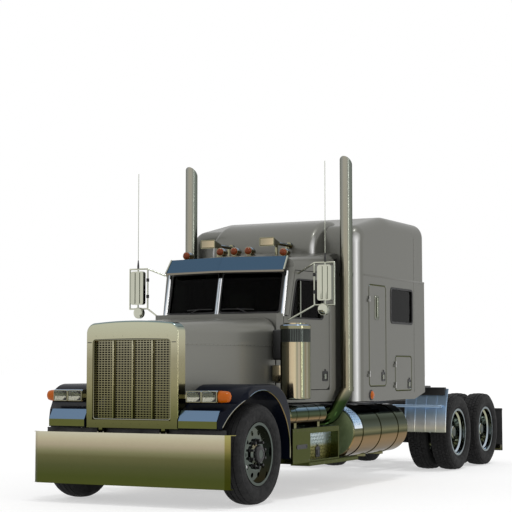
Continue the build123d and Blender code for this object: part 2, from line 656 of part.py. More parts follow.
side_front = swung_point(CAB_SIDE_FRONT, CAB_HALF_W)
side_inner = swung_point(CAB_SIDE_FRONT, CAB_HALF_W - CAB_WALL)
cowl_half = [(COWL_FRONT, COWL_HALF_W), side_front, side_inner, (COWL_FRONT - CAB_WALL, COWL_HALF_W - 50)]
cab_front = plan_plate(both_edges(cowl_half), CAB_Z0, COWL_TOP)
deck_in = CAB_HALF_W - CAB_WALL - DOOR_GAP
deck_half = [(COWL_FRONT, COWL_HALF_W), side_front, swung_point(CAB_SIDE_FRONT, deck_in),
             swung_point(-1440, deck_in)]
deck_right = [(x, -y) for x, y in reversed(deck_half)]
cab_front += plan_plate(deck_half + [(-1240, 0)] + deck_right, COWL_TOP - 24, COWL_TOP)
panel_top = HEADER_TOP - SCREEN_Z0
panel = screen_plate([(0, -14), (CAB_HALF_W, -14), (CAB_HALF_W, panel_top + 40), (0, panel_top + 40)], 0, SCREEN_T)
panel += swung(side_plate([(pillar_x(2037) - 20, 2037), (pillar_x(2037) - PILLAR_W, 2037),
                           (pillar_x(HEADER_TOP) - PILLAR_W, HEADER_TOP), (pillar_x(HEADER_TOP) - 20, HEADER_TOP)],
                          CAB_HALF_W - CAB_WALL, CAB_HALF_W))
screen_corners = [(24, 16), (SCREEN_HALF_W, 16), (SCREEN_HALF_W, SCREEN_H), (24, SCREEN_H)]
panel -= screen_plate(screen_corners, -20, SCREEN_T + 60)
panel -= block(-3000, 0, -200, 2000, HEADER_TOP, 3000)
panel -= swung(block(-3000, 0, CAB_HALF_W, 2000, 1000, 3000))
cab_front += panel + right_hand(panel)
for z in CAB_HINGES:
    leaf = swung(hinge_fixed(DOOR_FRONT + DOOR_GAP / 2, CAB_HALF_W, z, 46))
    cab_front += leaf + right_hand(leaf)
save("cab_front", cab_front)

# Cab sides: sill, rear post, header and return to the sleeper boot
header_front = pillar_x(DOOR_Z1) - PILLAR_W - CLEAR
side_points = [(CAB_SIDE_FRONT - CLEAR, CAB_Z0), (CAB_SIDE_FRONT - CLEAR, DOOR_Z0 - DOOR_GAP),
               (DOOR_REAR - DOOR_GAP, DOOR_Z0 - DOOR_GAP), (DOOR_REAR - DOOR_GAP, DOOR_Z1 + DOOR_GAP),
               (header_front - 4, DOOR_Z1 + DOOR_GAP), (header_front - 10, HEADER_TOP), (CAB_REAR, HEADER_TOP),
               (CAB_REAR, DOOR_Z0), (CAB_REAR + PIPE_RELIEF, CAB_Z0)]
cab_side = swung(side_plate(side_points, CAB_HALF_W - CAB_WALL, CAB_HALF_W))
cab_side += block(CAB_REAR, CAB_REAR + 50, 800, CAB_HALF_W - CAB_WALL + 30, 1090, HEADER_TOP)
save("cab_sides", *both(cab_side))


# Cab roof: crowned, rising to the sleeper and swept back over the windscreen
def roof_solid(inset, base):
    rear = SLP_FRONT + CLEAR
    front = ROOF_FRONT - inset
    ends = []
    for x, edge, corner in ((front, ROOF_EDGE_FRONT, ROOF_CORNER_FRONT), (rear, ROOF_EDGE_REAR, ROOF_CORNER_REAR)):
        ends.append(shell_outline(cab_y(x) - inset, base, edge - inset, corner - inset, ROOF_CROWN, x))
    solid = loft(ends, ruled=True)
    reach = CAB_HALF_W + 130
    for end in (1, -1):
        swept = [(front + 100, 0), (front, 0), (front - SCREEN_SWEEP * reach, end * reach),
                 (front + 100, end * reach)]
        solid -= plan_plate(swept, base - 10, ROOF_EDGE_REAR)
    return solid


cab_roof = roof_solid(0, HEADER_TOP) - roof_solid(55, HEADER_TOP - 20)
cab_roof -= block(SLP_FRONT - 10, SLP_FRONT + 60, -CAB_HALF_W + 70, CAB_HALF_W - 70, HEADER_TOP - 20, 2760)
for end in (1, -1):
    cab_roof -= block(SLP_FRONT - 10, CAB_REAR - 12, end * (BOOT_HALF_W + 40), end * (CAB_HALF_W + 130),
                      HEADER_TOP - 10, ROOF_EDGE_REAR + ROOF_CROWN)
save("cab_roof", cab_roof)

# Sleeper walls
def sleeper_plan():
    r = SLP_CORNER_R
    w = SLP_WALL
    cx = SLP_FRONT - r
    cy = SLP_HALF_W - r
    k = math.sqrt(0.5)
    z = SLP_Z0
    edges = [
        Line((SLP_REAR, SLP_HALF_W, z), (cx, SLP_HALF_W, z)),
        ThreePointArc((cx, SLP_HALF_W, z), (cx + r * k, cy + r * k, z), (SLP_FRONT, cy, z)),
        Line((SLP_FRONT, cy, z), (SLP_FRONT - w, cy, z)),
        ThreePointArc((SLP_FRONT - w, cy, z), (cx + (r - w) * k, cy + (r - w) * k, z), (cx, SLP_HALF_W - w, z)),
        Line((cx, SLP_HALF_W - w, z), (SLP_REAR, SLP_HALF_W - w, z)),
        Line((SLP_REAR, SLP_HALF_W - w, z), (SLP_REAR, SLP_HALF_W, z)),
    ]
    return make_face(edges)


slp_in_y = SLP_HALF_W - SLP_WALL
sleeper_side = extrude(sleeper_plan(), amount=SLP_SEAM - SLP_Z0, dir=(0, 0, 1))
for x0, x1, z0, z1, r in (SLP_DOOR + (60,), SLP_WINDOW + (45,), LOCKER + (50,)):
    sleeper_side -= rounded_side_plate(x0, x1, z0, z1, r, slp_in_y - 20, SLP_HALF_W + 20)
sleeper_side -= side_plate([(-4470, SLP_Z0 - 1), (SLP_REAR - 1, SLP_Z0 - 1), (SLP_REAR - 1, 1112)],
                           slp_in_y - 20, SLP_HALF_W + 20)
for (x0, x1, z0, z1), heights in ((SLP_DOOR, SLP_HINGES), (LOCKER, LOCKER_HINGES)):
    for z in heights:
        sleeper_side += hinge_fixed(x0 - DOOR_GAP / 2, SLP_HALF_W, z, 46)
save("sleeper_sides", *both(sleeper_side))

front_y = SLP_HALF_W - SLP_CORNER_R - CLEAR
sleeper_front = block(SLP_FRONT - SLP_WALL, SLP_FRONT, -front_y, front_y, CAB_Z0, SLP_SEAM)
sleeper_front -= block(SLP_FRONT - 100, SLP_FRONT + 10, -820, 820, CAB_Z0 - 10, 2500)
boot = block(SLP_FRONT - 5, CAB_REAR - CLEAR, -BOOT_HALF_W, BOOT_HALF_W, CAB_Z0, SLP_SEAM)
boot -= block(SLP_FRONT - 100, CAB_REAR + 10, -820, 820, CAB_Z0 - 10, SLP_SEAM - 40)
sleeper_front += boot - block(SLP_FRONT - 100, SLP_FRONT - 0.5, -900, 900, 2499, 2600)
sleeper_back = block(SLP_BACK - 45, SLP_BACK, -slp_in_y + CLEAR, slp_in_y - CLEAR, CAB_Z0, SLP_SEAM)
save("sleeper_ends", sleeper_front, sleeper_back)


# Sleeper roof cap with the brow above the cab
def cap_solid(inset, half_w, back):
    i = inset
    front = SLP_FRONT - i
    points = [(front, SLP_SEAM + CLEAR), (front, 3150 - i), (front - 950, SLP_TOP - i), (back, SLP_TOP - i),
              (back, SLP_SEAM + CLEAR)]
    solid = side_plate(points, -half_w, half_w)
    for x, radius in ((front, 230 - i), (front - 950, 900 - i), (back, 190 - i)):
        solid = fillet([e for e in solid.edges().filter_by(Axis.Y) if abs(e.center().X - x) < 1 and
                        e.center().Z > SLP_SEAM + 5], radius)
    return solid


CAP_OVERRUN = 60.0
cap = cap_solid(0, SLP_HALF_W, SLP_REAR - CAP_OVERRUN)
shoulder = [e for e in cap.edges() if abs(abs(e.center().Y) - SLP_HALF_W) < 1 and e.center().Z > SLP_SEAM + 5 and
            abs(e.center().X - SLP_REAR + CAP_OVERRUN) > 1]
cap = fillet(shoulder, SLP_CORNER_R)
cap -= block(SLP_REAR - CAP_OVERRUN - 10, SLP_REAR, -SLP_HALF_W - 10, SLP_HALF_W + 10, SLP_SEAM - 10, SLP_TOP + 10)
cap -= cap_solid(70, SLP_HALF_W - 90, SLP_BACK)
cap -= block(SLP_REAR - 10, SLP_BACK - 45, -slp_in_y, slp_in_y, SLP_SEAM - 10, SLP_TOP - 190)
cap -= block(SLP_BACK, SLP_FRONT - SLP_WALL, -slp_in_y + 60, slp_in_y - 60, SLP_SEAM - 10, 2700)
BROW_HALF_W = 720.0
BROW_BACK = -2990.0
BROW_FRONT = -2330.0
BROW_Z = 2850.0
BROW_RISE = 422.0
BROW_FOOT = 2790.0
brow_frame = Plane((BROW_BACK, -BROW_HALF_W, BROW_Z), x_dir=(1, 0, 0), z_dir=(0, -1, 0))
brow_foot = Polyline((BROW_BACK, -BROW_HALF_W, BROW_Z + BROW_RISE), (BROW_BACK, -BROW_HALF_W, BROW_FOOT),
                     (BROW_FRONT, -BROW_HALF_W, BROW_FOOT), (BROW_FRONT, -BROW_HALF_W, BROW_Z))
brow_arc = brow_frame * EllipticalCenterArc((0, 0), BROW_FRONT - BROW_BACK, BROW_RISE, 0, arc_size=90)
brow = extrude(make_face(brow_foot.edges() + brow_arc.edges()), amount=2 * BROW_HALF_W, dir=(0, 1, 0))
brow = fillet([e for e in brow.edges() if abs(abs(e.center().Y) - BROW_HALF_W) < 1 and e.center().Z > 2890 and
               e.center().X > BROW_BACK + 5], 90)
brow -= cap_solid(70, SLP_HALF_W - 90, SLP_BACK)
brow -= block(BROW_BACK, SLP_FRONT - 60, -620, 620, 2700, 3120)
brow -= side_plate([(-2380, 2700), (-2380, 2860), (-2590, 3100), (-2700, 3100), (-2700, 2700)], -620, 620)
cap = cap + brow
cap -= roof_solid(-CLEAR, HEADER_TOP - 30)
save("sleeper_roof", cap)

# Floor with the bunk base
floor_half = [(COWL_FRONT - CAB_WALL - CLEAR, 730), (-1320, 730), (CAB_REAR + 52, 870), (CAB_REAR + 52, 798),
              (CAB_REAR - 5, 798)]
floor = plan_plate(both_edges(floor_half), CAB_Z0, CAB_Z0 + 50)
floor += block(SLP_FRONT - 60, CAB_REAR + 5, -798, 798, CAB_Z0, CAB_Z0 + 50)
floor += block(SLP_BACK + CLEAR, SLP_FRONT - SLP_WALL - CLEAR, -1040, 1040, CAB_Z0, CAB_Z0 + 50)
floor += block(SLP_BACK + CLEAR, -3760, -slp_in_y + 6, slp_in_y - 6, CAB_Z0, CAB_Z0 + 50)
floor += block(SLP_BACK + CLEAR, -3620, -1000, 1000, CAB_Z0 + 40, 1560)
floor += block(SLP_BACK + CLEAR, -3600, -1100, 1100, 1610, 1760)
floor += block(SLP_BACK + CLEAR, -3640, -1000, 1000, 1550, 1620)
save("cabin_floor", floor)

# Fixed glass: two windscreen panes and two sleeper windows
pane = screen_plate([(24 + 0.5, 16.5), (SCREEN_HALF_W - 0.5, 16.5), (SCREEN_HALF_W - 0.5, SCREEN_H - 0.5),
                     (24 + 0.5, SCREEN_H - 0.5)], 14, 8)
x0, x1, z0, z1 = SLP_WINDOW
sleeper_pane = rounded_side_plate(x0 - 0.5, x1 + 0.5, z0 + 0.5, z1 - 0.5, 45, SLP_HALF_W - 22, SLP_HALF_W - 14)
save("cabin_glass", *(both(pane) + both(sleeper_pane)))


# Cab doors with glass and mirrors
def door_front_x(z):
    return pillar_x(z) - PILLAR_W - DOOR_GAP


door_points = [(DOOR_FRONT, DOOR_Z0), (DOOR_FRONT, DOOR_STEP_Z), (door_front_x(DOOR_STEP_Z), DOOR_STEP_Z),
               (door_front_x(DOOR_Z1), DOOR_Z1), (DOOR_REAR, DOOR_Z1), (DOOR_REAR, DOOR_Z0)]
door = side_plate(door_points, CAB_HALF_W - CAB_WALL, CAB_HALF_W)
foot_corner = [e for e in door.edges().filter_by(Axis.Y) if e.center().Z < DOOR_Z0 + 5 and e.center().X < -2000]
door = fillet(foot_corner, 70)
DOOR_WIN_REAR = -2100.0
DOOR_WIN_POST = 40.0
win_points = [(door_front_x(DOOR_WIN_Z0) - DOOR_WIN_POST, DOOR_WIN_Z0),
              (door_front_x(DOOR_WIN_Z1) - DOOR_WIN_POST, DOOR_WIN_Z1),
              (DOOR_WIN_REAR, DOOR_WIN_Z1), (DOOR_WIN_REAR, DOOR_WIN_Z0)]
window = side_plate(win_points, CAB_HALF_W - CAB_WALL - 20, CAB_HALF_W + 20)
window = fillet(window.edges().filter_by(Axis.Y), 40)
door -= window
glass = side_plate(win_points, CAB_HALF_W - 40, CAB_HALF_W - 34)
glass = fillet(glass.edges().filter_by(Axis.Y), 40)
for z in CAB_HINGES:
    door += hinge_moving(DOOR_FRONT + DOOR_GAP / 2, CAB_HALF_W, z)
door = swung(door)
glass = swung(glass)
save("door_left", door)
save("door_right", right_hand(door))
save("door_glass_left", glass)
save("door_glass_right", right_hand(glass))

MIRROR_X = -1490.0
MIRROR_Y = 1257.0
WHIP_TOP = 3810.0
mirror_head = block(MIRROR_X - 30, MIRROR_X + 30, MIRROR_Y - 89, MIRROR_Y + 89, 2200, 2608)
mirror_head = fillet(mirror_head.edges().filter_by(Axis.X), 30)
mirror_head += rod((MIRROR_X - 20, 1240, 2100), (MIRROR_X + 20, 1240, 2100), 68)
TUBES = (
    # start, end
    ((-1600, 850, 2520), (MIRROR_X, 1120, 2636)),
    ((MIRROR_X, 1120, 2636), (MIRROR_X, 1372, 2636)),
    ((MIRROR_X, 1372, 2636), (MIRROR_X, 1372, 2150)),
    ((MIRROR_X, 1372, 2150), (MIRROR_X, 1120, 2150)),
    ((MIRROR_X, 1120, 2150), (MIRROR_X, 1120, 2636)),
    ((MIRROR_X, 1120, 2150), (-1400, 810, 1970)),
    ((MIRROR_X, MIRROR_Y, 2600), (MIRROR_X, MIRROR_Y, 2640)),
    ((MIRROR_X, MIRROR_Y, 2145), (MIRROR_X, MIRROR_Y, 2210)),
    ((MIRROR_X, MIRROR_Y, 2630), (MIRROR_X, MIRROR_Y, WHIP_TOP)),
)
mirror_set = mirror_head
for start, end in TUBES:
    radius = 4 if end[2] == WHIP_TOP else 10
    mirror_set += rod(start, end, radius)
for x, y, z in ((MIRROR_X, 1120, 2636), (MIRROR_X, 1372, 2636), (MIRROR_X, 1372, 2150), (MIRROR_X, 1120, 2150)):
    mirror_set += Pos(x, y, z) * Sphere(10)
mirror_set -= swung(block(-3000, 0, 0, CAB_HALF_W, 0, 4000))
save("mirror_left", mirror_set)
save("mirror_right", right_hand(mirror_set))

# Sleeper doors and locker doors
LEAVES = (
    # name, opening, corner radius, hinge heights
    ("sleeper_door", SLP_DOOR, 60, SLP_HINGES),
    ("locker_door", LOCKER, 50, LOCKER_HINGES),
)
for name, (x0, x1, z0, z1), r, heights in LEAVES:
    g = DOOR_GAP
    leaf = rounded_side_plate(x0 - g, x1 + g, z0 + g, z1 - g, r - g, slp_in_y, SLP_HALF_W)
    for z in heights:
        leaf += hinge_moving(x0 - g / 2, SLP_HALF_W, z)
    save(name + "_left", leaf)
    save(name + "_right", right_hand(leaf))

# Sun visor: two sloped sheets swept back like the windscreen, with turned-down ends
VISOR_T = 6.0
VISOR_LIP = 45.0
low_mid = Vector(-1214, 0, 2560)
low_end = Vector(-1368, 780, 2560)
high_end = Vector(-1715, 720, 2736)
fall = (high_end - low_mid).cross(low_end - low_mid).normalized()
high_mid = Vector(low_mid.X - fall.Z * (high_end.Z - low_mid.Z) / fall.X, 0, high_end.Z)
sheet = make_face(Polyline(low_mid, low_end, high_end, high_mid, close=True))
visor_half = extrude(sheet, amount=VISOR_T, dir=fall)
lip = Vector(0, 0, -VISOR_LIP)
flange = make_face(Polyline(low_end, high_end, high_end + lip, low_end + lip, close=True))
visor_half += extrude(flange, amount=VISOR_T, dir=(0, -1, 0))
behind = screen_plate([(-300, -400), (1100, -400), (1100, panel_top + 60), (-300, panel_top + 60)], -CLEAR, 800)
visor_half -= behind - block(-3000, 0, -600, 2000, HEADER_TOP + CLEAR, 3000)
visor_half -= roof_solid(-CLEAR, HEADER_TOP - 2)
visor = visor_half + right_hand(visor_half)
save("sun_visor", visor)

# Roof lamps and air horns
ROOF_LAMP_X = -1680.0
ROOF_LAMPS = ((-655.0, 2787.0), (-190.0, 2818.0), (0.0, 2818.0), (190.0, 2818.0), (655.0, 2787.0))
BULLET = ((88, 0), (86, 20), (62, 45), (-30, 47), (-100, 25), (-135, 0))
lamps = []
for y, z in ROOF_LAMPS:
    outline = Polyline(*[(ROOF_LAMP_X + along, y, z + out) for along, out in BULLET], close=True)
    lamp = revolve(make_face(outline), Axis((0, y, z), (1, 0, 0)), 360)
    lamp += block(ROOF_LAMP_X - 85, ROOF_LAMP_X + 40, y - 26, y + 26, z - 130, z - 30)
    lamps.append(lamp - roof_solid(-CLEAR, HEADER_TOP - 200))
save("roof_lamps", *lamps)
HORN_Y = 400.0
HORN_Z = 2925.0
HORN_FACE_X = -1700.0
HORN_THROAT_X = -2000.0
HORN_REAR_X = -2330.0


def horn_face(x, y, wide, tall, corner):
    return Plane((x, y, HORN_Z), x_dir=(0, 1, 0), z_dir=(-1, 0, 0)) * RectangleRounded(wide, tall, corner)


horns = []
for y in (-HORN_Y, HORN_Y):
    horn = loft([horn_face(HORN_FACE_X, y, 196, 104, 14), horn_face(HORN_THROAT_X, y, 46, 42, 10)])
    horn -= loft([horn_face(HORN_FACE_X + 1, y, 182, 90, 10), horn_face(HORN_THROAT_X + 60, y, 40, 24, 8)])
    horn += rod((HORN_THROAT_X + 5, y, HORN_Z), (HORN_REAR_X, y, HORN_Z), 20)
    horn += rod((HORN_REAR_X, y, HORN_Z), (HORN_REAR_X + 40, y, HORN_Z), 38)
    for x in (-1960, -2240):
        horn += block(x - 12, x + 12, y - 14, y + 14, 2650, HORN_Z)
    horns.append(horn - roof_solid(-CLEAR, HEADER_TOP - 200))
save("air_horns", *horns)

# Dashboard with steering wheel, and seats
dash = side_plate([(COWL_FRONT - CAB_WALL - CLEAR, 1500), (COWL_FRONT - CAB_WALL - CLEAR, 2024), (-1300, 2024),
                   (-1430, 1960), (-1500, 1850), (-1460, 1700), (-1320, 1500)], -715, 715)
column = rod((-1440, 420, 1760), (-1640, 420, 1860), 24)
rim_frame = Plane((-1640, 420, 1860), z_dir=(-200, 0, 100))
steering = rim_frame * Torus(225, 15)
spoke = rim_frame * Box(440, 36, 12)
dash += column + steering + spoke
save("dashboard", dash)
seats = []
for y in (430.0, -430.0):
    profile = [(-1780, CAB_Z0 + 50), (-1740, 1380), (-1690, 1420), (-1690, 1510), (-2060, 1490), (-2180, 2200),
               (-2290, 2190), (-2220, 1400), (-2180, CAB_Z0 + 50)]
    seat = side_plate(profile, y - 240, y + 240)
    seats.append(fillet(seat.edges().filter_by(Axis.Y).filter_by(lambda e: e.center().Z > 1390), 30))
save("seats", *seats)

# Tanks: fuel tanks with straps and brackets, and air tanks on the step boxes
fuel = rod((TANK_X1, TANK_Y, TANK_Z), (TANK_X0, TANK_Y, TANK_Z), TANK_R)
fuel = fillet(fuel.edges().filter_by(GeomType.CIRCLE), 24)
AIR_Y = 1052.0
AIR_Z = 905.0
AIR_R = 114.0
air = rod((-1740, AIR_Y, AIR_Z), (-770, AIR_Y, AIR_Z), AIR_R)
air = fillet(air.edges().filter_by(GeomType.CIRCLE), 30)
for x in (-950, -1560):
    air += block(x - 30, x + 30, AIR_Y - 80, AIR_Y + 80, BOX_Z1, AIR_Z - 60)
save("tanks", *(both(fuel) + both(air)))
straps = []
for x in (-2700.0, -3270.0, -3840.0):
    band = rod((x - 32, TANK_Y, TANK_Z), (x + 32, TANK_Y, TANK_Z), TANK_R + 7)
    bracket = block(x - 32, x + 32, RAIL_OUT_Y, TANK_Y - 200, RAIL_TOP - 250, RAIL_TOP - 10)
    bracket += block(x - 32, x + 32, RAIL_OUT_Y, TANK_Y + 60, TANK_Z - TANK_R - 28, TANK_Z - 230)
    bracket += block(x - 32, x + 32, RAIL_OUT_Y, RAIL_OUT_Y + 40, TANK_Z - TANK_R - 28, RAIL_TOP - 10)
    strap = band + bracket
    strap -= rod((x - 60, TANK_Y, TANK_Z), (x + 60, TANK_Y, TANK_Z), TANK_R + CLEAR)
    straps.append(strap)
    straps.append(right_hand(strap))
save("tank_straps", *straps)

# Step boxes with a recessed step and a tread running on below the tank
step_box = block(BOX_X1, BOX_X0, RAIL_OUT_Y, BOX_Y1, BOX_Z0, BOX_Z1)
step_box -= block(BOX_X1 - 1, BOX_X0 + 1, RAIL_OUT_Y - 1, 780, BOX_Z0 - 1, 640)
step_box -= block(-1975, -1215, BOX_Y1 - 95, BOX_Y1 + 1, 400, 700)
step_box += block(-2560, -1180, BOX_Y1 - 230, BOX_Y1, BOX_Z0 - 44, BOX_Z0)
step_box -= rod((-2660, TANK_Y, TANK_Z), (-2300, TANK_Y, TANK_Z), TANK_R + 4)
save("step_boxes", *both(step_box))

# Exhaust stacks with mitred tops
stack_path = FilletPolyline((STACK_X, STACK_Y, STACK_TOP), (STACK_X, STACK_Y, 1165), (-2190, 1000, 815),
                            (-2190, 560, 815), radius=150)
stack_face = Plane((STACK_X, STACK_Y, STACK_TOP), z_dir=(0, 0, -1)) * Circle(STACK_R)
stack = sweep(stack_face, path=stack_path)
stack -= rod((STACK_X, STACK_Y, 1400), (STACK_X, STACK_Y, STACK_TOP + 50), STACK_R - 4)
stack -= side_plate([(STACK_X + STACK_R, STACK_TOP), (STACK_X - STACK_R - 20, STACK_TOP - 2 * STACK_R - 20),
                     (STACK_X - STACK_R - 20, STACK_TOP + 20), (STACK_X + STACK_R, STACK_TOP + 20)],
                    STACK_Y - 200, STACK_Y + 200)
for z in (2560.0, 1180.0):
    clamp = rod((STACK_X, STACK_Y, z - 25), (STACK_X, STACK_Y, z + 25), STACK_R + 6)
    clamp += block(SLP_FRONT + CLEAR, STACK_X, 985, 1020, z - 20, z + 20)
    stack += clamp - rod((STACK_X, STACK_Y, z - 60), (STACK_X, STACK_Y, z + 60), STACK_R - 2)
stack += block(-2260, -2120, RAIL_OUT_Y, 580, 740, 890)
save("exhaust_stacks", *both(stack))

# Air cleaners on the cowl corners
cleaner = rod((CLEANER_X, CLEANER_Y, 1085), (CLEANER_X, CLEANER_Y, 1890), CLEANER_R)
cleaner = fillet(cleaner.edges().filter_by(GeomType.CIRCLE), 18)
cleaner += rod((CLEANER_X, CLEANER_Y, 1880), (CLEANER_X, CLEANER_Y, 1932), 128)
cleaner -= rod((CLEANER_X, CLEANER_Y, 1716), (CLEANER_X, CLEANER_Y, 1868), CLEANER_R + 5) - rod(
    (CLEANER_X, CLEANER_Y, 1700), (CLEANER_X, CLEANER_Y, 1880), CLEANER_R - 8)
for z in (1300.0, 1600.0):
    bracket = block(-1200, -1168, COWL_HALF_W + 5.2, 985, z - 40, z + 40)
    bracket -= rod((CLEANER_X, CLEANER_Y, z - 60), (CLEANER_X, CLEANER_Y, z + 60), CLEANER_R - 10)
    cleaner += bracket
save("air_cleaners", *both(cleaner))

# Quarter fenders ahead of the first rear wheels: bowed sheets on a tube from the frame
QUARTER_Y = (610.0, 1228.0)
QUARTER_ARC = ((-5530.0, 545.0), (-5565.0, 850.0), (-5665.0, 1145.0))
QUARTER_T = 7.0
BAR_X = -5490.0
BAR_Z = 905.0
y0 = QUARTER_Y[0]
front_arc = ThreePointArc(*[(x, y0, z) for x, z in QUARTER_ARC])
back_arc = ThreePointArc(*[(x - QUARTER_T, y0, z) for x, z in QUARTER_ARC])
top_edge = Line(front_arc @ 1, back_arc @ 1)
foot_edge = Line(back_arc @ 0, front_arc @ 0)
quarter = extrude(make_face([front_arc, top_edge, back_arc, foot_edge]), amount=QUARTER_Y[1] - y0, dir=(0, 1, 0))
quarter += rod((BAR_X, RAIL_OUT_Y, BAR_Z), (BAR_X, QUARTER_Y[1] - 40, BAR_Z), 18)
for y in (680.0, 930.0, 1170.0):
    quarter += block(-5583, BAR_X, y - 12, y + 12, BAR_Z - 10, BAR_Z + 10)
save("quarter_fenders", *both(quarter))

# Mud flaps and rear lamp bar
flap_x = REAR_END + 30
bar = rod((flap_x, -1222, 800), (flap_x, 1222, 800), 20)
bar += block(RAIL_REAR - 60, RAIL_REAR, -420, 420, 740, 900)
bar += block(REAR_END, RAIL_REAR - 30, -400, 400, 760, 860)
for end in (1, -1):
    bar += block(flap_x - 6, flap_x + 6, end * 622, end * 1222, 180, 800)
save("rear_bar", bar)

# Fifth wheel: base brackets on the rails and a rocking plate with a throat
base_parts = []
for end in (1, -1):
    foot = block(FIFTH_X - 300, FIFTH_X + 300, end * 300, end * RAIL_OUT_Y, RAIL_TOP, RAIL_TOP + 14)
    ped = side_plate([(FIFTH_X - 150, RAIL_TOP + 10), (FIFTH_X + 150, RAIL_TOP + 10), (FIFTH_X + 45, FIFTH_AXIS_Z),
                      (FIFTH_X - 45, FIFTH_AXIS_Z)], 340, 400)
    ped += rod((FIFTH_X, 340, FIFTH_AXIS_Z), (FIFTH_X, 400, FIFTH_AXIS_Z), 42)
    ped -= rod((FIFTH_X, 300, FIFTH_AXIS_Z), (FIFTH_X, 420, FIFTH_AXIS_Z), 20 + CLEAR)
    base_parts.append(foot + (ped if end == 1 else right_hand(ped)))
cross = block(FIFTH_X + 230, FIFTH_X + 290, -310, 310, RAIL_TOP, RAIL_TOP + 14)
save("fifth_wheel_base", base_parts[0] + base_parts[1] + cross)

plate_half = [(430, 250), (300, FIFTH_HALF_W), (-260, FIFTH_HALF_W), (-440, 330), (-440, 190),
              (-90, KINGPIN_LOCK_R), (0, KINGPIN_LOCK_R)]
plate_plan = [(FIFTH_X + along, y) for along, y in both_edges(plate_half)]
plate = plan_plate(plate_plan, FIFTH_TOP - 42, FIFTH_TOP)
plate -= rod((FIFTH_X, 0, FIFTH_TOP - 100), (FIFTH_X, 0, FIFTH_TOP + 10), KINGPIN_LOCK_R)
for end in (1, -1):
    for y0, y1 in ((312, 332), (408, 428)):
        lug = block(FIFTH_X - 36, FIFTH_X + 36, end * y0, end * y1, FIFTH_AXIS_Z, FIFTH_TOP - 40)
        lug += rod((FIFTH_X, end * y0, FIFTH_AXIS_Z), (FIFTH_X, end * y1, FIFTH_AXIS_Z), 36)
        plate += lug
    plate += rod((FIFTH_X, end * 312, FIFTH_AXIS_Z), (FIFTH_X, end * 428, FIFTH_AXIS_Z), 20)
save("fifth_wheel", plate)
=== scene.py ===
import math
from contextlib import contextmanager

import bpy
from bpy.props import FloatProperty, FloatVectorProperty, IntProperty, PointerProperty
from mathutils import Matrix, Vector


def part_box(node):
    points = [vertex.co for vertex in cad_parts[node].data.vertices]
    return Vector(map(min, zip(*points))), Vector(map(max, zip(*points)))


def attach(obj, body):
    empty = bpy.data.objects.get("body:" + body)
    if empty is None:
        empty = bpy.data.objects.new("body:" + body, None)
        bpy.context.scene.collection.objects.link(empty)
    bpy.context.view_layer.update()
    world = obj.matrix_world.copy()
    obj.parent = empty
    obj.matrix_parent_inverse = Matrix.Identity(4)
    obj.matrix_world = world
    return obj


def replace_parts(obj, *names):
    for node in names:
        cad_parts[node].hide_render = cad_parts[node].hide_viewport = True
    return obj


bl_info = {
    "name": "Highway tractor dressing",
    "version": (1, 0, 0),
    "blender": (4, 5, 0),
    "location": "View3D > Sidebar > Tractor",
    "description": "Dresses a long-nose highway tractor: paint, bright metal, tyres, lamps, trim and cabin",
    "category": "Object",
}

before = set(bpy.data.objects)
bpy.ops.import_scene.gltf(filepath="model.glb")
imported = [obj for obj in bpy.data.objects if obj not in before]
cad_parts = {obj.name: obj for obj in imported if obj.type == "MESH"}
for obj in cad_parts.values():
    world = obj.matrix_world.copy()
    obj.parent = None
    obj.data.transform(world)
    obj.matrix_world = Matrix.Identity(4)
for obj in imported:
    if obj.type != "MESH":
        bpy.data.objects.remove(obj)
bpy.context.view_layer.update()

# Places are measured in metres from the middle of the front axle on the road
front_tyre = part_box("tyre_front_left")
AXLE_X = (front_tyre[0].x + front_tyre[1].x) / 2
TYRE_R = (front_tyre[1].x - front_tyre[0].x) / 2
FRONT_TYRE_Y = (front_tyre[0].y + front_tyre[1].y) / 2
REAR_TYRE_Y = (1.081, 0.741)
REAR_AXLES = (("mid", -6.150), ("rear", -7.370))

SIDES = ("left", "right")
UP = Vector((0, 0, 1))
AHEAD = Vector((1, 0, 0))
LEFT = Vector((0, 1, 0))


def at(x, y, z):
    return Vector((AXLE_X + x, y, z))


def linear(colour):
    """An sRGB hex colour as the linear colour that a shader takes."""
    parts = [int(colour[i:i + 2], 16) / 255 for i in (1, 3, 5)]
    return tuple(c / 12.92 if c <= 0.04045 else ((c + 0.055) / 1.055) ** 2.4 for c in parts) + (1.0,)


def per_metre(millimetres):
    """The scale of a pattern whose cells are that many millimetres wide."""
    return 1000 / millimetres


class TractorSizes(bpy.types.PropertyGroup):
    tread_depth: FloatProperty(name="Tread depth", description="Depth of the tyre grooves", default=0.014,
                               min=0.004, max=0.03, unit="LENGTH")
    nut_count: IntProperty(name="Wheel nuts", description="Nuts on each wheel", default=10, min=6, max=12)
    nut_circle: FloatProperty(name="Nut circle", description="Radius of the ring of nuts", default=0.143,
                              min=0.12, max=0.16, unit="LENGTH")
    grille_columns: IntProperty(name="Mesh columns", description="Holes across each grille panel", default=6,
                                min=4, max=16)
    grille_rows: IntProperty(name="Mesh rows", description="Holes up each grille panel", default=34,
                             min=10, max=80)
    rivet_radius: FloatProperty(name="Rivet radius", description="Radius of a panel rivet's head",
                                default=0.006, min=0.002, max=0.015, unit="LENGTH")
    key_light: FloatProperty(name="Key light", description="Power of the tall soft box", default=100.0,
                             min=0.0, max=4000.0, unit="POWER")
    sky_light: FloatProperty(name="Room light", description="Strength of the even light from all round",
                             default=0.66, min=0.0, max=1.5)
    top_light: FloatProperty(name="Overhead light", description="Strength of the soft light from above",
                             default=0.75, min=0.0, max=5.0)


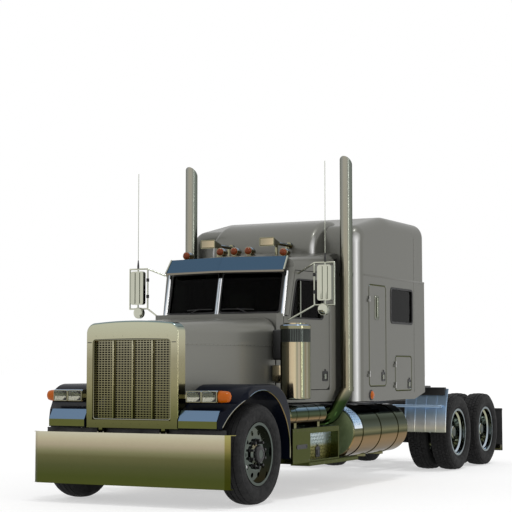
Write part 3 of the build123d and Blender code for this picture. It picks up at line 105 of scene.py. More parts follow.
class TractorColours(bpy.types.PropertyGroup):
    body: FloatVectorProperty(name="Body", description="Cab, hood and sleeper enamel", subtype="COLOR",
                              size=4, min=0, max=1, default=linear("#71716b"))
    fender: FloatVectorProperty(name="Fenders", description="Front fender enamel", subtype="COLOR", size=4,
                                min=0, max=1, default=linear("#0a0f1b"))
    amber: FloatVectorProperty(name="Marker lamps", description="Turn and marker lamp plastic",
                               subtype="COLOR", size=4, min=0, max=1, default=linear("#b85a04"))
    seat: FloatVectorProperty(name="Seat cloth", description="Seats and bunk", subtype="COLOR", size=4,
                              min=0, max=1, default=linear("#3b3a38"))


def sizes():
    return bpy.context.scene.tractor_sizes


def colours():
    return bpy.context.scene.tractor_colours


# Modelling by hand, where points nearer than the weld distance in metres become one
WELD = 0.00002


def clear_selection():
    bpy.ops.object.select_all(action="DESELECT")


def select_only(obj):
    clear_selection()
    obj.select_set(True)
    bpy.context.view_layer.objects.active = obj


def applied(obj, kind, **settings):
    """Add a modifier to the piece and apply it."""
    select_only(obj)
    modifier = obj.modifiers.new(kind.title(), kind)
    for key, value in settings.items():
        setattr(modifier, key, value)
    bpy.ops.object.modifier_apply(modifier=modifier.name)
    return obj


def rounded(obj, width, segments=2):
    return applied(obj, "BEVEL", width=width, segments=segments, limit_method="ANGLE",
                   angle_limit=math.radians(40))


def block(low, high, bevel=0.0, segments=2):
    clear_selection()
    low, high = Vector(low), Vector(high)
    bpy.ops.mesh.primitive_cube_add(size=1, location=(low + high) / 2, scale=high - low)
    bpy.ops.object.transform_apply(location=True, rotation=True, scale=True)
    obj = bpy.context.object
    return rounded(obj, bevel, segments) if bevel else obj


@contextmanager
def editing(whole=True):
    """Work on the active mesh in edit mode, with the whole of it selected or what was picked before."""
    bpy.ops.object.mode_set(mode="EDIT")
    if whole:
        bpy.ops.mesh.select_all(action="SELECT")
    yield
    bpy.ops.object.mode_set(mode="OBJECT")


def unpick():
    """Deselect every point, edge and face of the active mesh."""
    bpy.ops.object.mode_set(mode="EDIT")
    bpy.ops.mesh.select_all(action="DESELECT")
    bpy.ops.object.mode_set(mode="OBJECT")


def outline(points, fill="NGON"):
    """A flat face with these corners, or only its edge, left active in object mode."""
    clear_selection()
    bpy.ops.mesh.primitive_circle_add(vertices=len(points), fill_type=fill)
    obj = bpy.context.object
    for vertex, point in zip(obj.data.vertices, points):
        vertex.co = point
    return obj


def draw_out(depth):
    """In edit mode, draw the flat mesh out by the vector depth, with its faces turned outwards."""
    bpy.ops.mesh.select_all(action="SELECT")
    bpy.ops.mesh.extrude_region_move(TRANSFORM_OT_translate={"value": depth})
    bpy.ops.mesh.select_all(action="SELECT")
    bpy.ops.mesh.normals_make_consistent(inside=False)


def punch(web):
    """In edit mode, open a hole in each face of the mesh and leave a web round it."""
    bpy.ops.mesh.select_all(action="SELECT")
    bpy.ops.mesh.inset(thickness=web, use_individual=True)
    bpy.ops.mesh.delete(type="FACE")


def prism(points, depth, bevel=0.0):
    """The face with these corners, drawn out by the vector depth."""
    obj = outline(points)
    with editing():
        draw_out(depth)
    return rounded(obj, bevel) if bevel else obj


def frame_ring(points, width, depth, corner, bevel):
    """A frame inside the outline, as wide as width, drawn out by the vector depth, with round corners."""
    obj = outline(points)
    with editing():
        bpy.ops.mesh.bevel(offset=corner, segments=4, affect="VERTICES")
        bpy.ops.mesh.select_all(action="SELECT")
        bpy.ops.mesh.inset(thickness=width)
        bpy.ops.mesh.delete(type="FACE")
        draw_out(depth)
    return rounded(obj, bevel)


def turned(profile, centre, axis, steps=32):
    """A closed section of (along, out) points, spun about the axis through the centre."""
    side = axis.orthogonal().normalized()
    obj = outline([centre + axis * along + side * out for along, out in profile], "NOTHING")
    with editing():
        bpy.ops.mesh.spin(steps=steps, angle=2 * math.pi, center=centre, axis=axis)
        bpy.ops.mesh.select_all(action="SELECT")
        bpy.ops.mesh.remove_doubles(threshold=WELD)
        bpy.ops.mesh.normals_make_consistent(inside=False)
    return obj


def tube(points, radius, detail=2):
    """A round bar along a smooth line that the points steer."""
    clear_selection()
    bpy.ops.curve.primitive_nurbs_path_add()
    curve = bpy.context.object.data
    curve.bevel_depth = radius
    curve.bevel_resolution = detail
    curve.resolution_u = 5
    curve.use_fill_caps = True
    curve.splines.clear()
    spline = curve.splines.new("NURBS")
    spline.points.add(len(points) - 1)
    for knot, point in zip(spline.points, points):
        knot.co = (*point, 1.0)
    spline.order_u = 3
    spline.use_endpoint_u = True
    bpy.ops.object.convert(target="MESH")
    return bpy.context.object


def copied(obj, matrix=Matrix.Identity(4)):
    twin = obj.copy()
    twin.data = obj.data.copy()
    twin.data.transform(matrix)
    bpy.context.collection.objects.link(twin)
    return twin


def mirrored(obj):
    twin = copied(obj, Matrix.Scale(-1, 4, LEFT))
    twin.data.flip_normals()
    return twin


def joined(parts):
    select_only(parts[0])
    for part in parts[1:]:
        part.select_set(True)
    if len(parts) > 1:
        bpy.ops.object.join()
    return parts[0]


def spread(obj, matrices):
    """Copies of one small shape at each place, as one piece."""
    parts = [copied(obj, matrix) for matrix in matrices]
    bpy.data.objects.remove(obj)
    return joined(parts)


def rivets(points, normal, radius=None):
    """Domed heads that stand on a flat panel."""
    r = radius or sizes().rivet_radius
    dome = turned([(-0.001, 0), (-0.001, r), (r * 0.35, r * 0.8), (r * 0.6, 0)], Vector(), normal, 8)
    return spread(dome, [Matrix.Translation(p) for p in points])


def row(start, end, count):
    return [start.lerp(end, i / (count - 1)) for i in range(count)]


def arc_points(centre, radius, first, last, count, y):
    """Points round a circle that stands along the truck, with angles in degrees from straight ahead."""
    angles = [math.radians(first + (last - first) * i / (count - 1)) for i in range(count)]
    return [Vector((centre.x + radius * math.cos(a), y, centre.z + radius * math.sin(a))) for a in angles]


def finish(obj, name, body, material, angle=35):
    """Name the piece, smooth it, give it its material and let it ride on its body."""
    obj.name = name
    obj.data.name = name
    obj.data.materials.clear()
    obj.data.materials.append(bpy.data.materials[material])
    select_only(obj)
    bpy.ops.object.shade_smooth_by_angle(angle=math.radians(angle))
    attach(obj, body)
    return obj


def finish_pair(obj, name, bodies, material, angle=35, nodes=None):
    """A left-hand piece and its mirror image, each on its own body and for its own node if it has one."""
    for piece, side in zip((obj, mirrored(obj)), SIDES):
        finish(piece, name + "_" + side, bodies + "_" + side, material, angle)
        if nodes:
            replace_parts(piece, nodes + "_" + side)


def finish_both(obj, name, body, material, angle=35):
    """A left-hand shape and its mirror image as one piece."""
    return finish(joined([obj, mirrored(obj)]), name, body, material, angle)


# Materials, with their patterns measured in millimetres
METAL_SMUDGE = 160
GLASS_SMUDGE = 220
FLUTE = 12
YARN = 6

# The places of the two colours and the result among a Mix node's sockets
MIX_A = 6
MIX_B = 7
MIX_RESULT = 2


def add_node(tree, kind, inputs=None, links=None, **settings):
    """Add a node with its settings, input values and links."""
    made = tree.nodes.new(kind)
    for key, value in settings.items():
        setattr(made, key, value)
    for key, value in (inputs or {}).items():
        made.inputs[key].default_value = value
    for key, source in (links or {}).items():
        tree.links.new(source, made.inputs[key])
    return made


def new_material(name, **values):
    material = bpy.data.materials.new(name)
    material.use_nodes = True
    tree = material.node_tree
    tree.nodes.clear()
    shader = add_node(tree, "ShaderNodeBsdfPrincipled",
                      inputs={key.replace("_", " "): value for key, value in values.items()})
    add_node(tree, "ShaderNodeOutputMaterial", links={"Surface": shader.outputs["BSDF"]})
    return tree, shader, add_node(tree, "ShaderNodeTexCoord")


def set_tones(ramp, tones):
    stops = ramp.color_ramp.elements
    while len(stops) < len(tones):
        stops.new(0.5)
    for stop, (place, colour) in zip(stops, tones):
        stop.position = place
        stop.color = linear(colour) if isinstance(colour, str) else colour


def mottle(tree, shader, coord, cell, tones):
    """Soft cloudy change between tones, with cells of that many millimetres."""
    cloud = add_node(tree, "ShaderNodeTexNoise", inputs={"Scale": per_metre(cell), "Detail": 4.0},
                     links={"Vector": coord.outputs["Object"]})
    ramp = add_node(tree, "ShaderNodeValToRGB", links={"Fac": cloud.outputs["Fac"]})
    set_tones(ramp, tones)
    tree.links.new(ramp.outputs["Color"], shader.inputs["Base Color"])
    return cloud


def relief(tree, shader, height, depth, strength=0.6):
    """Bump from a pattern, as deep as that many millimetres."""
    bump = add_node(tree, "ShaderNodeBump", inputs={"Distance": depth / 1000, "Strength": strength},
                    links={"Height": height})
    tree.links.new(bump.outputs["Normal"], shader.inputs["Normal"])


def smudged(tree, shader, coord, cell, smooth, dull):
    """Handling marks: the roughness drifts between two values."""
    cloud = add_node(tree, "ShaderNodeTexNoise", inputs={"Scale": per_metre(cell), "Detail": 3.0},
                     links={"Vector": coord.outputs["Object"]})
    drift = add_node(tree, "ShaderNodeMapRange", links={"Value": cloud.outputs["Fac"]},
                     inputs={"From Min": 0.3, "From Max": 0.7, "To Min": smooth, "To Max": dull})
    tree.links.new(drift.outputs["Result"], shader.inputs["Roughness"])


def scaled(colour, factor):
    return tuple(min(1.0, c * factor) for c in colour[:3]) + (1.0,)


# Keeps a colour from paling to white where a face is seen along its surface
EDGE_TINT = linear("#c8c8c8")


def enamel(name, colour, metallic, flake, coat, gloss, painted_highlight=None):
    # Sprayed enamel under a thin clear coat: a soft gloss over colour, with flake drawn coarser than life so
    # that it shows, and a painted highlight: a pale glint painted into the colour on corners that turn
    # between the front and the sides
    colour = tuple(colour)
    tree, shader, coord = new_material(name, Metallic=metallic, Roughness=0.36, Specular_IOR_Level=gloss,
                                       Specular_Tint=EDGE_TINT, Coat_Weight=coat, Coat_Roughness=0.05)
    mottle(tree, shader, coord, flake,
           ((0.3, scaled(colour, 0.94)), (0.5, colour), (0.7, scaled(colour, 1.07))))
    if painted_highlight:
        either = add_node(tree, "ShaderNodeVectorMath", operation="ABSOLUTE",
                          links={0: coord.outputs["Normal"]})
        look = add_node(tree, "ShaderNodeVectorMath", operation="DOT_PRODUCT", inputs={1: PAINTED_HIGHLIGHT_WAY},
                        links={0: either.outputs["Vector"]})
        ramp = add_node(tree, "ShaderNodeValToRGB", links={"Fac": look.outputs["Value"]})
        set_tones(ramp, painted_highlight)
        flakes = shader.inputs["Base Color"].links[0].from_socket
        mixed = add_node(tree, "ShaderNodeMix", data_type="RGBA", blend_type="SCREEN", inputs={"Factor": 1.0},
                         links={MIX_A: flakes, MIX_B: ramp.outputs["Color"]})
        tree.links.new(mixed.outputs[MIX_RESULT], shader.inputs["Base Color"])


def bright_metal(name, tones, axis=UP, shades=None, span=(0.0, 1.0), smooth=0.05, dull=0.14):
    # Chrome plate, stainless or polished aluminium: a mirror whose colour carries a painted reflection: pale
    # sky in faces that look up, a dark horizon and warm ground in faces that look down, so its tint follows
    # the way a face looks along the axis, and painted reflection and painted shade by its height in metres
    # where shades run over a span from the foot of the piece to its top
    tree, shader, coord = new_material(name, Metallic=1.0, Specular_Tint=EDGE_TINT)
    look = add_node(tree, "ShaderNodeVectorMath", operation="DOT_PRODUCT", inputs={1: axis},
                    links={0: coord.outputs["Normal"]})
    facing = add_node(tree, "ShaderNodeMapRange", inputs={"From Min": -1.0, "From Max": 1.0},
                      links={"Value": look.outputs["Value"]})
    ramp = add_node(tree, "ShaderNodeValToRGB", links={"Fac": facing.outputs["Result"]})
    set_tones(ramp, tones)
    tint = ramp.outputs["Color"]
    if shades:
        place = add_node(tree, "ShaderNodeSeparateXYZ", links={"Vector": coord.outputs["Object"]})
        height = add_node(tree, "ShaderNodeMapRange", inputs={"From Min": span[0], "From Max": span[1]},
                          links={"Value": place.outputs["Z"]})
        climb = add_node(tree, "ShaderNodeValToRGB", links={"Fac": height.outputs["Result"]})
        set_tones(climb, shades)
        mixed = add_node(tree, "ShaderNodeMix", data_type="RGBA", blend_type="MULTIPLY",
                         inputs={"Factor": 1.0}, links={MIX_A: tint, MIX_B: climb.outputs["Color"]})
        tint = mixed.outputs[MIX_RESULT]
    tree.links.new(tint, shader.inputs["Base Color"])
    smudged(tree, shader, coord, METAL_SMUDGE, smooth, dull)


def plain_finish(name, dark, light, cell, smooth, dull, depth=0.0, **values):
    """A finish with two tones, uneven gloss and a fine grain that is depth millimetres deep."""
    tree, shader, coord = new_material(name, **values)
    cloud = mottle(tree, shader, coord, cell, ((0.35, dark), (0.65, light)))
    smudged(tree, shader, coord, cell * 3, smooth, dull)
    if depth:
        relief(tree, shader, cloud.outputs["Fac"], depth)


def glass(name, tint, bend, roughness=0.02):
    # Float glass with a body tint, and a coating that keeps reflections faint over a dark see-through sheet
    tree, shader, coord = new_material(name, Base_Color=linear(tint), Roughness=roughness, IOR=bend,
                                       Transmission_Weight=1.0)
    smudged(tree, shader, coord, GLASS_SMUDGE, roughness, roughness + 0.03)


def lens(name, colour):
    # Moulded acrylic lens: coloured through, with flutes inside that break up the lamp behind
    tree, shader, coord = new_material(name, Base_Color=tuple(colour), Roughness=0.12, IOR=1.49,
                                       Specular_IOR_Level=0.2)
    wave = add_node(tree, "ShaderNodeTexWave", links={"Vector": coord.outputs["Object"]},
                    inputs={"Scale": per_metre(FLUTE) / math.tau, "Distortion": 0.0}, bands_direction="Y")
    relief(tree, shader, wave.outputs["Fac"], 1.5)


def cloth(name, colour):
    # Woven seat cloth: matt yarns over and under, drawn coarser than life so that the weave shows
    tree, shader, coord = new_material(name, Roughness=0.95, Sheen_Weight=0.3)
    weave = add_node(tree, "ShaderNodeTexChecker", links={"Vector": coord.outputs["Object"]},
                     inputs={"Scale": per_metre(YARN), "Color1": scaled(colour, 0.8),
                             "Color2": scaled(colour, 1.2)})
    tree.links.new(weave.outputs["Color"], shader.inputs["Base Color"])
    relief(tree, shader, weave.outputs["Fac"], 0.8)


# Ways that faces are compared with: across upright metal for its painted reflection, and out from the corners
# of the enamel for its painted highlight
ACROSS = Vector((-0.459, 0.889, 0))
PAINTED_HIGHLIGHT_WAY = (0.74, 0.66, 0.13)

# How much lighter than the body the hood is painted: painted light, the body's enamel lifted to make up for
# the shade the hood gets
HOOD_PAINTED_LIGHT = 1.2

# Tones from faces that look down, or away from the axis, to faces that look up, or along it: most are painted
# reflections of sky, horizon and ground in the bright metals, and the enamel's corner tones are a painted
# highlight
EVEN_TONES = ((0.0, "#ffffff"), (1.0, "#ffffff"))
SILVER_TONES = ((0.0, "#aeb4b4"), (1.0, "#d3dadd"))
MESH_TONES = ((0.0, "#d8d8d8"), (1.0, "#ececec"))
PAINTED_HIGHLIGHT_TONES = ((0.0, "#000000"), (0.9, "#000000"), (0.965, "#8c8c8c"), (1.0, "#c8c8c8"))
BUMPER_TONES = ((0.0, "#ffffff"), (0.38, "#ffffff"), (0.48, "#d2cf96"), (1.0, "#d2cf96"))
SKY_TONES = ((0.0, "#5d4c33"), (0.28, "#8c7552"), (0.42, "#3c421f"), (0.5, "#8b886e"), (0.6, "#98978c"),
             (0.76, "#6f829a"), (1.0, "#a5b4c2"))
SHELL_TONES = ((0.0, "#8a8a78"), (0.42, "#ffffff"), (0.6, "#ffffff"), (0.8, "#a9bed6"), (1.0, "#8fb0d8"))
VISOR_TONES = ((0.0, "#4a4d49"), (0.5, "#7d776b"), (0.65, "#43586b"), (0.9, "#3e566c"), (1.0, "#5a6d80"))
STACK_TONES = ((0.0, "#63675c"), (0.15, "#898a84"), (0.3, "#9a978a"), (0.5, "#999689"), (0.64, "#81857d"),
               (0.8, "#707770"), (1.0, "#575c53"))
CLEANER_TONES = ((0.0, "#404031"), (0.14, "#727160"), (0.36, "#c2b191"), (0.47, "#c5b796"),
                 (0.53, "#8b8974"), (0.6, "#b3a790"), (0.68, "#6f6d54"), (0.75, "#858c78"),
                 (0.8, "#7f745e"), (0.87, "#918e7e"), (0.93, "#6c684f"), (1.0, "#7d8473"))
TANK_TONES = ((0.0, "#86744f"), (0.3, "#957b56"), (0.39, "#88724e"), (0.43, "#3d4025"), (0.5, "#737152"),
              (0.6, "#4b5245"), (0.72, "#2c3423"), (0.82, "#414d3b"), (0.9, "#4e6675"), (1.0, "#8d979d"))
AIR_TONES = ((0.0, "#6a5838"), (0.3, "#957b56"), (0.42, "#3a3d22"), (0.55, "#44513c"), (0.68, "#26311f"),
             (0.78, "#5f7a8e"), (0.9, "#94aab8"), (1.0, "#617278"))
STEP_TONES = ((0.0, "#5f4f31"), (0.35, "#45482a"), (0.5, "#4a4f2a"), (0.62, "#6b6c45"), (0.8, "#8e9ca8"),
              (1.0, "#a9b6c0"))
NOSE_TONES = ((0.0, "#33361c"), (0.5, "#575a30"), (0.62, "#5a5f4a"), (0.72, "#61778f"), (1.0, "#6c8399"))
WHEEL_TONES = ((0.0, "#454739"), (0.3, "#4e5248"), (0.5, "#585f5a"), (0.7, "#6a6b5c"), (1.0, "#857454"))
# The dual wheels' painted reflection is set lighter, to lift the shade inside their deep dishes
DUAL_TONES = ((0.0, "#94906c"), (0.35, "#a6a992"), (0.5, "#8d9698"), (1.0, "#c9d6e4"))
MIRROR_TONES = ((0.0, "#d8d9c8"), (0.18, "#babbab"), (0.42, "#bbbcac"), (0.55, "#9aa093"), (0.75, "#868b82"),
                (1.0, "#73756c"))
PILLAR_TONES = ((0.0, "#8796a6"), (0.3, "#b9bfc4"), (0.42, "#ffffff"), (0.6, "#fafafa"), (0.75, "#a2a3a2"),
                (1.0, "#74746e"))

# Shades from the foot of a piece to its top: painted reflection and painted shade that change with height
# The bumper's shades end in near black above its top flange: painted shade over the pivot cheeks behind it
BUMPER_SHADES = ((0.0, "#464b22"), (0.15, "#444a23"), (0.35, "#4d5030"), (0.53, "#5f5e3e"),
                 (0.62, "#7a7858"), (0.74, "#a1977e"), (0.87, "#b3ab90"), (0.983, "#bdb9a3"),
                 (1.0, "#0b0c0c"))
SHELL_SHADES = ((0.0, "#525331"), (0.15, "#65643f"), (0.4, "#85805f"), (0.66, "#928d72"), (0.8, "#aaa68c"),
                (1.0, "#b5b69e"))
STACK_SHADES = ((0.0, "#526f3e"), (0.1, "#5a7447"), (0.14, "#f4ead4"), (0.45, "#fdf8ec"), (1.0, "#ffffff"))
QUARTER_SHADES = ((0.0, "#d2d6c2"), (0.1, "#fffbea"), (0.25, "#f4faff"), (0.45, "#b8d2ea"), (0.7, "#a2bad4"),
                  (1.0, "#93abc0"))
TREAD_SHADES = ((0.0, "#5b592c"), (0.45, "#807e52"), (0.56, "#a2aeaa"), (1.0, "#bcc9cc"))
LAMP_SHADES = ((0.0, "#7f7d65"), (0.08, "#b0ad9d"), (0.4, "#b6b2a3"), (0.48, "#494c32"), (0.85, "#3f4228"),
               (1.0, "#60717e"))

# The heights in metres that those shades run over
BUMPER_SPAN = (0.205, 0.762)
SHELL_SPAN = (0.8, 1.9)
MESH_SPAN = (0.6, 2.1)
STACK_SPAN = (0.7, 4.0)
QUARTER_SPAN = (0.545, 1.145)
TREAD_SPAN = (0.40, 0.71)
LAMP_SPAN = (1.083, 1.185)


def both(*names):
    """The names of the left and the right one of each."""
    return tuple(name + "_" + side for name in names for side in SIDES)


# The record's material slots, the finishes that belong to each, and the solid parts that carry each finish
SLOT_FINISHES = {
    "paint_grey": {
        "metallic grey enamel": ("cab_front", "cab_sides", "cab_roof", "sleeper_sides", "sleeper_ends",
                                 "sleeper_roof", *both("door", "sleeper_door", "locker_door")),
        "hood enamel painted lighter": ("hood",),
    },
    "paint_dark": {"dark blue enamel": ("fenders",)},
    "chrome": {
        "chrome plate": ("headlamps", "air_horns"),
        "bumper chrome": ("bumper",),
        "grille shell stainless": ("grille_surround",),
        "visor stainless": ("sun_visor",),
        "stack stainless": ("exhaust_stacks",),
        "punched grille steel": ("grille",),
        "cleaner stainless": ("air_cleaners",),
        "quarter fender stainless": ("quarter_fenders",),
        "mirror stainless": both("mirror"),
        "nose panel stainless": (),
        "pillar stainless with painted highlight": (),
        "lamp reflector chrome": (),
    },
    "alloy": {
        "polished wheel aluminium": both("wheel_front"),
        "polished dual aluminium": both("wheels_mid", "wheels_rear"),
        "polished tank aluminium": ("tanks", "tank_straps"),
        "step aluminium": ("step_boxes",),
        "tread plate aluminium": (),
        "air tank aluminium": (),
        "tank tread aluminium": (),
        "tank end painted reflection": (),
    },
    "frame_black": {"chassis enamel": ("frame", "suspension", "rear_axles", "front_axle", "radiator",
                                       "driveline", "rear_bar", "fifth_wheel_base")},
    "iron": {"cast iron": ("engine", "tie_rod", *both("knuckle"))},
    "steel": {"greased steel": ("fifth_wheel",)},
    "tyre": {"tyre rubber": both("tyre_front", "tyres_mid", "tyres_rear")},
    "rubber": {"seal rubber": ()},
    "glass": {"tinted glass": ("cabin_glass", *both("door_glass")), "mirror glass": (), "lamp glass": ()},
    "amber": {"amber acrylic": ("roof_lamps",), "smoked amber acrylic": (), "red acrylic": ()},
    "trim_plastic": {"moulded black plastic": (), "dash vinyl": ("dashboard",)},
    "seat_cloth": {"seat cloth": ("seats",)},
    "floor_mat": {"floor mat": ("cabin_floor",)},
}


class TRACTOR_OT_finishes(bpy.types.Operator):
    """Make every material and give the solid parts their finish"""
    bl_idname = "tractor.finishes"
    bl_label = "Finishes"

    def execute(self, context):
        shades = colours()
        for name, colour in (("metallic grey enamel", shades.body),
                             ("hood enamel painted lighter", scaled(shades.body, HOOD_PAINTED_LIGHT))):
            enamel(name, colour, metallic=0.55, flake=4, coat=0.25, gloss=0.1, painted_highlight=PAINTED_HIGHLIGHT_TONES)
        enamel("dark blue enamel", shades.fender, metallic=0.0, flake=30, coat=0.08, gloss=0.05)
        bright_metal("chrome plate", SKY_TONES)
        bright_metal("bumper chrome", BUMPER_TONES, ACROSS, BUMPER_SHADES, BUMPER_SPAN, smooth=0.1, dull=0.2)
        bright_metal("grille shell stainless", SHELL_TONES, UP, SHELL_SHADES, SHELL_SPAN)
        bright_metal("visor stainless", VISOR_TONES, smooth=0.12, dull=0.2)
        bright_metal("stack stainless", STACK_TONES, ACROSS, STACK_SHADES, STACK_SPAN, smooth=0.16, dull=0.26)
        bright_metal("punched grille steel", MESH_TONES, UP, SHELL_SHADES, MESH_SPAN, smooth=0.2, dull=0.3)
        bright_metal("cleaner stainless", CLEANER_TONES, ACROSS)
        bright_metal("quarter fender stainless", EVEN_TONES, UP, QUARTER_SHADES, QUARTER_SPAN,
                     smooth=0.4, dull=0.5)
        bright_metal("nose panel stainless", NOSE_TONES, smooth=0.12, dull=0.2)
        bright_metal("mirror stainless", MIRROR_TONES, ACROSS)
        bright_metal("pillar stainless with painted highlight", PILLAR_TONES, ACROSS)
        bright_metal("lamp reflector chrome", EVEN_TONES, UP, LAMP_SHADES, LAMP_SPAN)
        bright_metal("polished wheel aluminium", WHEEL_TONES)
        bright_metal("polished dual aluminium", DUAL_TONES)
        bright_metal("polished tank aluminium", TANK_TONES)
        bright_metal("step aluminium", STEP_TONES, smooth=0.15, dull=0.28)
        bright_metal("air tank aluminium", AIR_TONES)
        bright_metal("tank tread aluminium", EVEN_TONES, UP, QUARTER_SHADES, QUARTER_SPAN,
                     smooth=0.2, dull=0.35)
        bright_metal("tread plate aluminium", EVEN_TONES, UP, TREAD_SHADES, TREAD_SPAN, smooth=0.2, dull=0.35)
        # Silvered mirror glass: neutral and sharp, with a faint painted reflection, lighter in faces that
        # look up
        bright_metal("mirror glass", SILVER_TONES, smooth=0.01, dull=0.03)
        # Spun end of a tank: a satin grey-green that is a painted reflection, with cloudy patches
        plain_finish("tank end painted reflection", "#55633f", "#66734d", cell=90, smooth=0.5, dull=0.65,
                     Metallic=0.2)
        # Brushed-on satin enamel over steel, with road dust in its gloss
        plain_finish("chassis enamel", "#0c0c0d", "#191918", cell=60, smooth=0.4, dull=0.65, depth=0.2)
        # Sand-cast iron: pitted grey with a rough skin
        plain_finish("cast iron", "#1b1a19", "#34322f", cell=12, smooth=0.55, dull=0.8,
                     depth=1.0, Metallic=0.6)
        # Rolled steel plate with a film of grease
        plain_finish("greased steel", "#191817", "#2d2b28", cell=35, smooth=0.25, dull=0.5,
                     depth=0.4, Metallic=0.8)
        # Moulded tyre rubber: matt charcoal with dusty patches
        plain_finish("tyre rubber", "#171718", "#242424", cell=25, smooth=0.75, dull=0.95,
                     depth=0.6, Specular_IOR_Level=0.3)
        # Extruded window seal: dull black with a slight sheen
        plain_finish("seal rubber", "#0a0a0a", "#131313", cell=20, smooth=0.5, dull=0.7, depth=0.2)
        # Moulded plastic: fine spark grain
        plain_finish("moulded black plastic", "#0b0b0c", "#141415", cell=5, smooth=0.4, dull=0.55, depth=0.3)
        # Embossed vinyl over foam: warm dark grey
        plain_finish("dash vinyl", "#26241f", "#36332d", cell=6, smooth=0.5, dull=0.7, depth=0.5)
        # Rubber mat with a coarse skin and grit trodden in
        plain_finish("floor mat", "#1d1c1b", "#2c2a27", cell=14, smooth=0.8, dull=0.95, depth=1.0)
        glass("tinted glass", "#30332f", bend=1.1)
        glass("lamp glass", "#f2f4f2", bend=1.4, roughness=0.04)
        lens("amber acrylic", shades.amber)
        lens("smoked amber acrylic", linear("#7d3a1a"))
        lens("red acrylic", linear("#a3130d"))
        cloth("seat cloth", shades.seat)
        for finishes in SLOT_FINISHES.values():
            for name, nodes in finishes.items():
                for node in nodes:
                    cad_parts[node].data.materials.clear()
                    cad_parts[node].data.materials.append(bpy.data.materials[name])
        return {"FINISHED"}


# Wheels
TREAD_HALF = 0.113
CROWN_DROP = 0.016
SHOULDER_DROP = 0.006
WALL_POINTS = (
    # across from the middle, radius
    (0.0985, 0.312), (0.0985, 0.336), (0.1130, 0.346), (0.1215, 0.357), (0.1255, 0.359), (0.1275, 0.366),
    (0.1262, 0.369), (0.1335, 0.388), (0.1385, 0.412), (0.1380, 0.440), (0.1350, 0.463), (0.1362, 0.466),
    (0.1348, 0.472), (0.1330, 0.474), (0.1260, 0.494),
)
INNER_WALL = ((0.077, 0.312), (0.104, 0.42), (0.092, 0.488), (-0.092, 0.488), (-0.104, 0.42),
              (-0.077, 0.312))
GROOVES = (-0.078, -0.027, 0.027, 0.078)
GROOVE_HALF = 0.0055
GROOVE_LEAN = 0.002
BLOCK_ROWS = (-0.091, -0.0455, 0.0, 0.0455, 0.091)
BLOCKS_ROUND = 58
BLOCK_HALF_SHARE = 0.43
BLOCK_HALF_WIDE = 0.0195
BLOCK_TALL = 0.02
HUB_FACE_Y = 1.130
DUAL_FACE_Y = 0.924
FRONT_NUT = 0.052
DUAL_NUT = 0.05
FRONT_HUB_END_Y = 1.196
CAP_END_Y = FRONT_HUB_END_Y + 0.004
FRONT_CAP = ((1.155, 0), (1.155, 0.093), (1.166, 0.095), (CAP_END_Y - 0.012, 0.088), (CAP_END_Y, 0.068),
             (CAP_END_Y, 0.05), (CAP_END_Y - 0.007, 0.046), (CAP_END_Y - 0.007, 0))
DUAL_CAP = ((0.98, 0), (0.98, 0.089), (1.0, 0.092), (1.108, 0.086), (1.134, 0.062), (1.138, 0.03),
            (1.138, 0))


def crown_radius(across):
    return TYRE_R - CROWN_DROP * (across / TREAD_HALF) ** 2


def tyre_section(grooves, depth, sunk):
    """Section of a tyre, round from one bead over the tread to the other and back inside."""
    tread = [(-TREAD_HALF, crown_radius(TREAD_HALF) - sunk)]
    for groove in grooves:
        lip = groove - GROOVE_HALF
        far = groove + GROOVE_HALF
        tread += [(lip, crown_radius(lip)), (lip + GROOVE_LEAN, crown_radius(lip) - depth),
                  (far - GROOVE_LEAN, crown_radius(far) - depth), (far, crown_radius(far))]
    if not grooves:
        tread += [(across, crown_radius(across) - sunk) for across in (-0.06, 0.0, 0.06)]
    tread.append((TREAD_HALF, crown_radius(TREAD_HALF) - sunk))
    near = [(-across, radius) for across, radius in WALL_POINTS]
    return near + tread + list(reversed(WALL_POINTS)) + list(INNER_WALL)


def tread_blocks(centre):
    """Rows of drive-tyre blocks, each row half a pitch round from the last."""
    pitch = 2 * math.pi / BLOCKS_ROUND
    half_long = TYRE_R * pitch * BLOCK_HALF_SHARE
    parts = []
    for number, across in enumerate(BLOCK_ROWS):
        top = crown_radius(across) - 0.001
        lug = block((-half_long, across - BLOCK_HALF_WIDE, top - BLOCK_TALL),
                    (half_long, across + BLOCK_HALF_WIDE, top))
        lug.data.transform(Matrix.Rotation((number % 2) * pitch / 2, 4, LEFT))
        parts.append(lug)
    middle = Matrix.Translation(centre)
    return spread(joined(parts), [middle @ Matrix.Rotation(i * pitch, 4, LEFT) for i in range(BLOCKS_ROUND)])


def wheel_nuts(centre, face_y, length):
    """Ring of nuts with long caps."""
    count = sizes().nut_count
    nut = turned([(0, 0), (0, 0.021), (0.006, 0.021), (0.008, 0.0165), (length - 0.004, 0.0150),
                  (length, 0.011), (length, 0)], Vector(), LEFT, 6)
    rim = Matrix.Translation((sizes().nut_circle, 0, 0))
    middle = Matrix.Translation((centre.x, face_y, centre.z))
    return spread(nut, [middle @ Matrix.Rotation(2 * math.pi * (i + 0.5) / count, 4, LEFT) @ rim
                        for i in range(count)])


